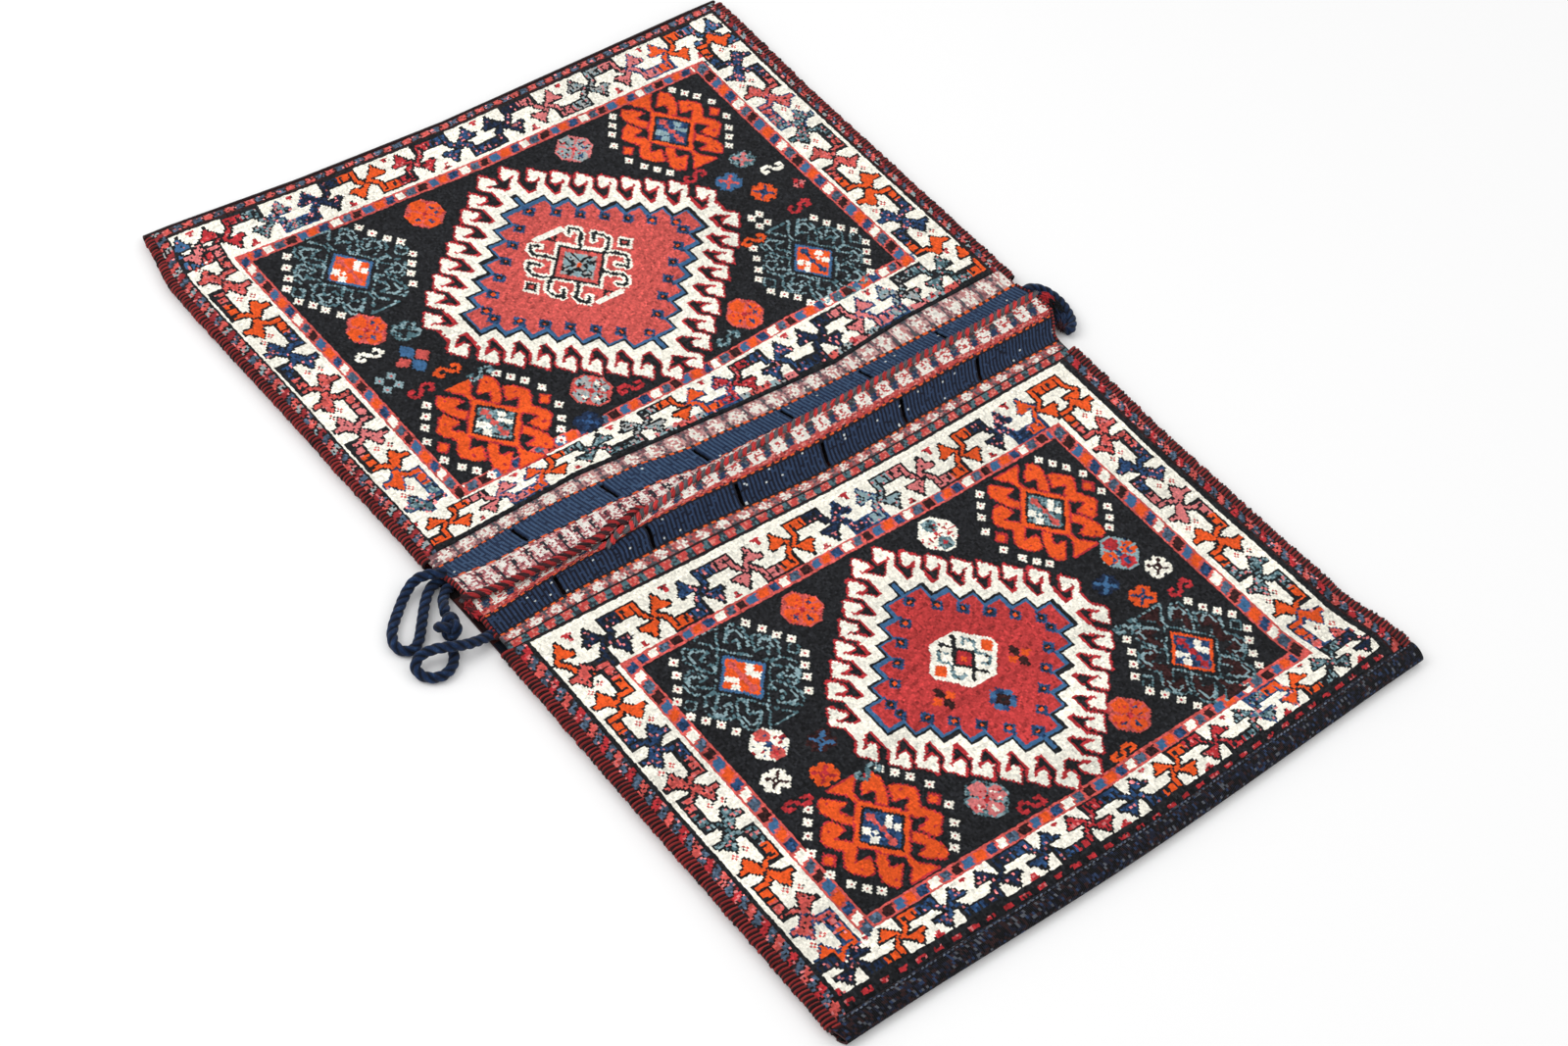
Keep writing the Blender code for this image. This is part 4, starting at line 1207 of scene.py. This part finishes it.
# The overcast sides
# Every side of each pouch is closed by wool yarn wound closely over the edges of the cloth and the
# front, red and dark by turns. Each turn is one bent length of yarn.
WRAP_PITCH = 0.0019
WRAP_RADIUS = 0.00112
WRAP_RED, WRAP_DARK = (140, 44, 44), (38, 22, 24)
BINDING_ENDS = {"a": {"left": (0.046, 0.466), "right": (0.036, 0.468)},
                "b": {"left": (-0.462, -0.060), "right": (-0.462, -0.060)}}
hairs = (NOISE, {"Scale": 1500.0, "Detail": 3.0, "Roughness": 0.7})
yarn_wool = dyed_wool("binding wool", 0.9, 0.06, ("ShaderNodeAttribute", {"attribute_name": "shade"}),
                      (hairs,), (0.65, 1.25), (0.6, 0.0005))


def stitch_tree(name, kind):
    """A geometry tree that sets one stitch, a bent yarn or a plump bead, on each point."""
    made = bpy.data.node_groups.new(name, "GeometryNodeTree")
    face = made.interface
    face.new_socket("Geometry", in_out="INPUT", socket_type="NodeSocketGeometry")
    for label in ("Reach Along", "Reach Across", "Reach Up", "Yarn Radius"):
        face.new_socket(label, in_out="INPUT", socket_type="NodeSocketFloat")
    face.new_socket("Seed", in_out="INPUT", socket_type="NodeSocketInt")
    face.new_socket("Wool", in_out="INPUT", socket_type="NodeSocketMaterial")
    face.new_socket("Geometry", in_out="OUTPUT", socket_type="NodeSocketGeometry")
    given = made.nodes.new("NodeGroupInput")
    out = made.nodes.new("NodeGroupOutput")
    link = made.links.new
    size = node(made, "ShaderNodeCombineXYZ")
    link(given.outputs["Reach Along"], size.inputs[0])
    link(given.outputs["Reach Across"], size.inputs[1])
    link(given.outputs["Reach Up"], size.inputs[2])
    shaped = node(made, "GeometryNodeTransform")
    if kind == "wrap":
        arc = node(made, "GeometryNodeCurveArc", Resolution=9, Radius=1.0)
        arc.inputs["Start Angle"].default_value = math.radians(-100)
        arc.inputs["Sweep Angle"].default_value = math.radians(200)
        ring = node(made, "GeometryNodeCurvePrimitiveCircle", Resolution=6)
        link(given.outputs["Yarn Radius"], ring.inputs["Radius"])
        stand = node(made, "GeometryNodeTransform")
        stand.inputs["Rotation"].default_value = (math.radians(90), 0.0, 0.0)
        link(arc.outputs[0], stand.inputs[0])
        link(stand.outputs[0], shaped.inputs[0])
        link(size.outputs[0], shaped.inputs["Scale"])
        tube = node(made, "GeometryNodeCurveToMesh")
        tube.inputs["Fill Caps"].default_value = True
        link(shaped.outputs[0], tube.inputs[0])
        link(ring.outputs[0], tube.inputs[1])
        stitch = tube.outputs[0]
    else:
        bead = node(made, "GeometryNodeMeshUVSphere", Segments=8, Rings=5, Radius=1.0)
        link(bead.outputs[0], shaped.inputs[0])
        link(size.outputs[0], shaped.inputs["Scale"])
        stitch = shaped.outputs[0]
    turn = node(made, "GeometryNodeInputNamedAttribute", data_type="FLOAT_VECTOR")
    turn.inputs["Name"].default_value = "turn"
    grow = node(made, "FunctionNodeRandomValue", data_type="FLOAT_VECTOR")
    grow.inputs[0].default_value, grow.inputs[1].default_value = (0.88,) * 3, (1.12,) * 3
    link(given.outputs["Seed"], grow.inputs["Seed"])
    points = node(made, "GeometryNodeMeshToPoints")
    link(given.outputs[0], points.inputs[0])
    setter = node(made, "GeometryNodeInstanceOnPoints")
    link(points.outputs[0], setter.inputs["Points"])
    link(stitch, setter.inputs["Instance"])
    link(turn.outputs["Attribute"], setter.inputs["Rotation"])
    link(grow.outputs[0], setter.inputs["Scale"])
    whole = node(made, "GeometryNodeRealizeInstances")
    link(setter.outputs[0], whole.inputs[0])
    soft = node(made, "GeometryNodeSetShadeSmooth")
    link(whole.outputs[0], soft.inputs[0])
    finish = node(made, "GeometryNodeSetMaterial")
    link(soft.outputs[0], finish.inputs[0])
    link(given.outputs["Wool"], finish.inputs["Material"])
    link(finish.outputs[0], out.inputs[0])
    return made


def stitches(name, group, places, turns, shades, sizes, seed, wool):
    """The stitches of one row as a plain mesh."""
    mesh = bpy.data.meshes.new(name)
    mesh.from_pydata(np.asarray(places, float).tolist(), [], [])
    layer = mesh.attributes.new("turn", "FLOAT_VECTOR", "POINT")
    layer.data.foreach_set("vector", np.asarray(turns, float).ravel())
    layer = mesh.attributes.new("shade", "FLOAT_COLOR", "POINT")
    layer.data.foreach_set("color", np.asarray(shades, float).ravel())
    row = bpy.data.objects.new(name, mesh)
    scene.collection.objects.link(row)
    modifier = row.modifiers.new("stitches", "NODES")
    modifier.node_group = group
    values = {"Reach Along": sizes[0], "Reach Across": sizes[1], "Reach Up": sizes[2],
              "Yarn Radius": sizes[3], "Seed": seed, "Wool": wool}
    for socket in group.interface.items_tree:
        if socket.in_out == "INPUT" and socket.name in values:
            modifier[socket.identifier] = values[socket.name]
    made = bpy.data.meshes.new_from_object(
        row.evaluated_get(bpy.context.evaluated_depsgraph_get()))
    row.modifiers.clear()
    row.data = made
    made.name = name
    if not made.materials:
        made.materials.append(wool)
    return row


wrap_tree = stitch_tree("yarn wraps", "wrap")
bead_tree = stitch_tree("plump stitches", "bead")


def binding(front, side, low_y, high_y, seed):
    """One overcast side: the yarn wound close over the edges of cloth and front."""
    rng = np.random.default_rng(seed)
    name = f"side_{front['name']}_{side}"
    y = np.arange(low_y, high_y, WRAP_PITCH)
    if side == "left":
        wide, flip = front["inset"][0], -1.0
        centre = eased(LEFT_EDGE, y) + wide + 0.0012
    else:
        wide, flip = front["inset"][1], 1.0
        centre = eased(RIGHT_EDGE, y) - wide - 0.0012
    height = PILE_TOP * 0.5
    lean = rng.normal(0, 0.05, len(y)) + 0.22 * flip
    turns = np.stack([rng.normal(0, 0.02, len(y)), np.zeros(len(y)),
                       (0.0 if side == "right" else math.pi) + lean], -1)
    places = np.stack([centre, y, np.full(len(y), height + 0.0007)], -1)
    places[:, 2] += rng.normal(0, 0.00012, len(y))
    shades = np.array([linear(WRAP_RED if k % 2 else WRAP_DARK) for k in range(len(y))])
    shades[:, :3] *= np.clip(1 + rng.normal(0, 0.14, len(y)), 0.6, 1.5)[:, None]
    return stitches(name, wrap_tree, places, turns, shades,
                    (wide, 1.0, height - 0.0017, WRAP_RADIUS), seed, yarn_wool)


for front in (FRONT_A, FRONT_B):
    for side in ("left", "right"):
        made = binding(front, side, *BINDING_ENDS[front["name"]][side], 31 + 7 * (side == "left"))
        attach(made, "root")
        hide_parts(f"side_binding_{front['name']}_{side}")

# The plaited mouth edges
# Both flaps end in a plait of red and dark grey wool: long slanting turns of plied yarn worked over
# the edge. The short sides of the flaps are overcast in red and dark brown.
PLAIT_PITCH, PLAIT_YARN = 0.0050, 0.00125
PLAIT_TURN = (0.0062, 0.00090, 0.0014, 0.001)
PLAITS = {"a": (1.0, -0.55, (168, 46, 48), (58, 34, 38)), "b": (-1.0, 0.47, (196, 58, 58), (92, 90, 94))}
FLAP_WRAP = (0.0019, 1.0, 0.0019, 0.0010)
FLAP_RED, FLAP_DARK = (160, 50, 50), (46, 28, 30)


def uneven(colour, rng):
    """A yarn's colour, a little lighter or darker than its neighbour's."""
    return linear(colour) * np.array([*(rng.uniform(0.6, 1.35),) * 3, 1.0])


for front in (FRONT_A, FRONT_B):
    fx, reach, height, flap = flap_lines[front["name"]]
    sign, slant, red, dark = PLAITS[front["name"]]
    rng = np.random.default_rng(72 if front is FRONT_A else 71)
    x = np.arange(-0.3155, 0.3190, PLAIT_PITCH)
    edge_y = np.interp(x, fx, reach)
    top = np.interp(x, fx, height) + 0.0034
    slope = np.gradient(edge_y, x)
    places, turns, shades = [], [], []
    for k in range(len(x)):
        lean = math.atan(slope[k]) + slant + rng.normal(0, 0.04)
        for strand in (-1.2, -0.4, 0.4, 1.2):
            off = strand * PLAIT_YARN
            places.append((x[k] - math.sin(lean) * off, edge_y[k] + sign * 0.0030 + math.cos(lean) * off,
                           top[k] - 0.0003 * strand * strand))
            turns.append((rng.normal(0, 0.03), rng.normal(0, 0.03), lean + rng.normal(0, 0.05)))
            shades.append(uneven(red if k % 2 else dark, rng))
    made = stitches(f"mouth_plait_{front['name']}", bead_tree, places, turns, shades, PLAIT_TURN, 5,
                    yarn_wool)
    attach(made, "root")
    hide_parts(f"mouth_braid_{front['name']}")
    for side, column in (("left", 0), ("right", -1)):
        line, _ = even(flap[:, column], WRAP_PITCH)
        count = len(line)
        turns = np.zeros((count, 3))
        turns[:, 2] = (math.pi if side == "left" else 0.0) + rng.normal(0.2, 0.08, count)
        places = line.copy()
        places[:, 2] -= 0.0012
        shades = np.array([linear(FLAP_RED if k % 2 else FLAP_DARK) for k in range(count)])
        shades[:, :3] *= rng.uniform(0.7, 1.3, (count, 1))
        made = stitches(f"flap_side_{front['name']}_{side}", wrap_tree, places, turns, shades,
                        FLAP_WRAP, 8, yarn_wool)
        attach(made, "root")

# The yarn ends at the mouth
# Where the plaits end, yarn ends are gathered: a red tuft on the left, and on the right a navy bundle
# with red ends on top that lies between the flaps and the short cord. Its near-black yarns are painted
# shade for the shadowed hollow inside the rope loop.
YARN_END = (0.0036, 0.00080, 0.0009, 0.001)
TUFT = {"name": "mouth_tuft_left", "half": 0.0035, "low": 0.0085, "high": 0.0122, "count": 60,
        "path": ((-0.3150, -0.0030), (-0.3175, -0.0120), (-0.3160, -0.0200)),
        "dyes": ((182, 44, 50), (150, 36, 42), (70, 28, 32), (176, 44, 50))}
BUNDLE_AND_SHADE = {"name": "mouth_bundle_and_shade_right", "half": 0.0062, "low": 0.0018, "high": 0.0092, "count": 520,
          "path": ((0.3205, 0.0190), (0.3255, 0.0110), (0.3285, 0.0020), (0.3290, -0.0080),
                   (0.3265, -0.0180), (0.3215, -0.0275), (0.3150, -0.0340)),
          # The near-black dyes are painted shade, filling the shadowed hollow inside the right rope loop.
          "dyes": ((30, 46, 76), (30, 44, 72), (178, 44, 50), (170, 42, 48), (12, 12, 18),
                   (10, 10, 15), (24, 38, 64), (28, 44, 72), (58, 30, 36))}
rng = np.random.default_rng(15)
for tuft in (TUFT, BUNDLE_AND_SHADE):
    way, _ = even(through([(*spot, 0.0) for spot in tuft["path"]], 8), 0.0004)
    along_way = np.gradient(way, axis=0)
    places, turns, shades = [], [], []
    for _ in range(tuft["count"]):
        at, off, rise = rng.random(), rng.uniform(-1, 1), rng.random() ** 0.6
        step = int(at * (len(way) - 1))
        ahead = along_way[step] / np.linalg.norm(along_way[step])
        aside = off * tuft["half"]
        places.append((way[step, 0] - ahead[1] * aside, way[step, 1] + ahead[0] * aside,
                       tuft["low"] + rise * (tuft["high"] - tuft["low"]) * (1 - 0.45 * off * off)))
        turns.append((rng.normal(0, 0.1), rng.normal(0, 0.2),
                      math.atan2(ahead[1], ahead[0]) + rng.normal(0, 0.35)))
        dye = at * len(tuft["dyes"]) - 0.5 + rng.normal(0, 0.25)
        shades.append(uneven(tuft["dyes"][int(np.clip(round(dye), 0, len(tuft["dyes"]) - 1))], rng))
    made = stitches(tuft["name"], bead_tree, places, turns, shades, YARN_END, 4, yarn_wool)
    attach(made, "root")

# The hem stitches
# A row of grey wool stitches holds the rolled hem down along its upper edge.
HEM_PITCH, HEM_HEIGHT, HEM_GREY = 0.0042, 0.0108, (84, 92, 106)
HEM_STITCH = (0.0015, 0.0008, 0.0007, 0.001)
x = np.arange(-0.314, 0.316, HEM_PITCH)
hem = np.stack([x, near_line(x) + ROLL_WIDTH * 0.80, np.full(len(x), HEM_HEIGHT)], -1)
rng = np.random.default_rng(9)
hem[:, 2] += rng.normal(0, 0.0002, len(x))
shades = np.tile(linear(HEM_GREY), (len(x), 1))
shades[:, :3] *= np.clip(1 + rng.normal(0, 0.5, len(x)), 0.2, 1.9)[:, None]
turns = np.stack([np.zeros(len(x)), np.zeros(len(x)), rng.normal(0.15, 0.12, len(x))], -1)
made = stitches("hem_stitches", bead_tree, hem, turns, shades, HEM_STITCH, 3, yarn_wool)
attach(made, "root")

# The floor and the light
# A plain white sheet under the bag, and wide soft light from above, a little more from the left.
FLOOR_WHITE, FLOOR_HALF, ROOM_LIGHT = (0.96, 0.96, 0.96, 1.0), 14, 0.80
floor_finish = bpy.data.materials.new("floor white")
floor_finish.use_nodes = True
shader = floor_finish.node_tree.nodes["Principled BSDF"]
shader.inputs["Base Color"].default_value = FLOOR_WHITE
shader.inputs["Roughness"].default_value = 0.9
shader.inputs["Specular IOR Level"].default_value = 0.1
floor_mesh = bpy.data.meshes.new("floor")
floor_mesh.from_pydata([(FLOOR_HALF * a, FLOOR_HALF * b, 0) for a, b in
                        ((-1, -1), (1, -1), (1, 1), (-1, 1))], [], [(0, 1, 2, 3)])
floor_mesh.materials.append(floor_finish)
floor = bpy.data.objects.new("floor", floor_mesh)
scene.collection.objects.link(floor)

world = bpy.data.worlds.new("soft room")
world.use_nodes = True
sky = world.node_tree.nodes["Background"]
sky.inputs["Color"].default_value = (1.0, 1.0, 1.0, 1.0)
sky.inputs["Strength"].default_value = ROOM_LIGHT
scene.world = world
LAMPS = (("window", (-2.2, 1.4, 2.6), 2.2, 46.0), ("fill", (2.4, -1.8, 3.0), 2.6, 14.0))
for name, place, size, power in LAMPS:
    lamp_data = bpy.data.lights.new(name, "AREA")
    lamp_data.shape, lamp_data.size, lamp_data.energy = "SQUARE", size, power
    lamp = bpy.data.objects.new(name, lamp_data)
    lamp.location = place
    lamp.rotation_euler = (-Vector(place)).to_track_quat("-Z", "Y").to_euler()
    scene.collection.objects.link(lamp)
scene.view_settings.view_transform = "Standard"
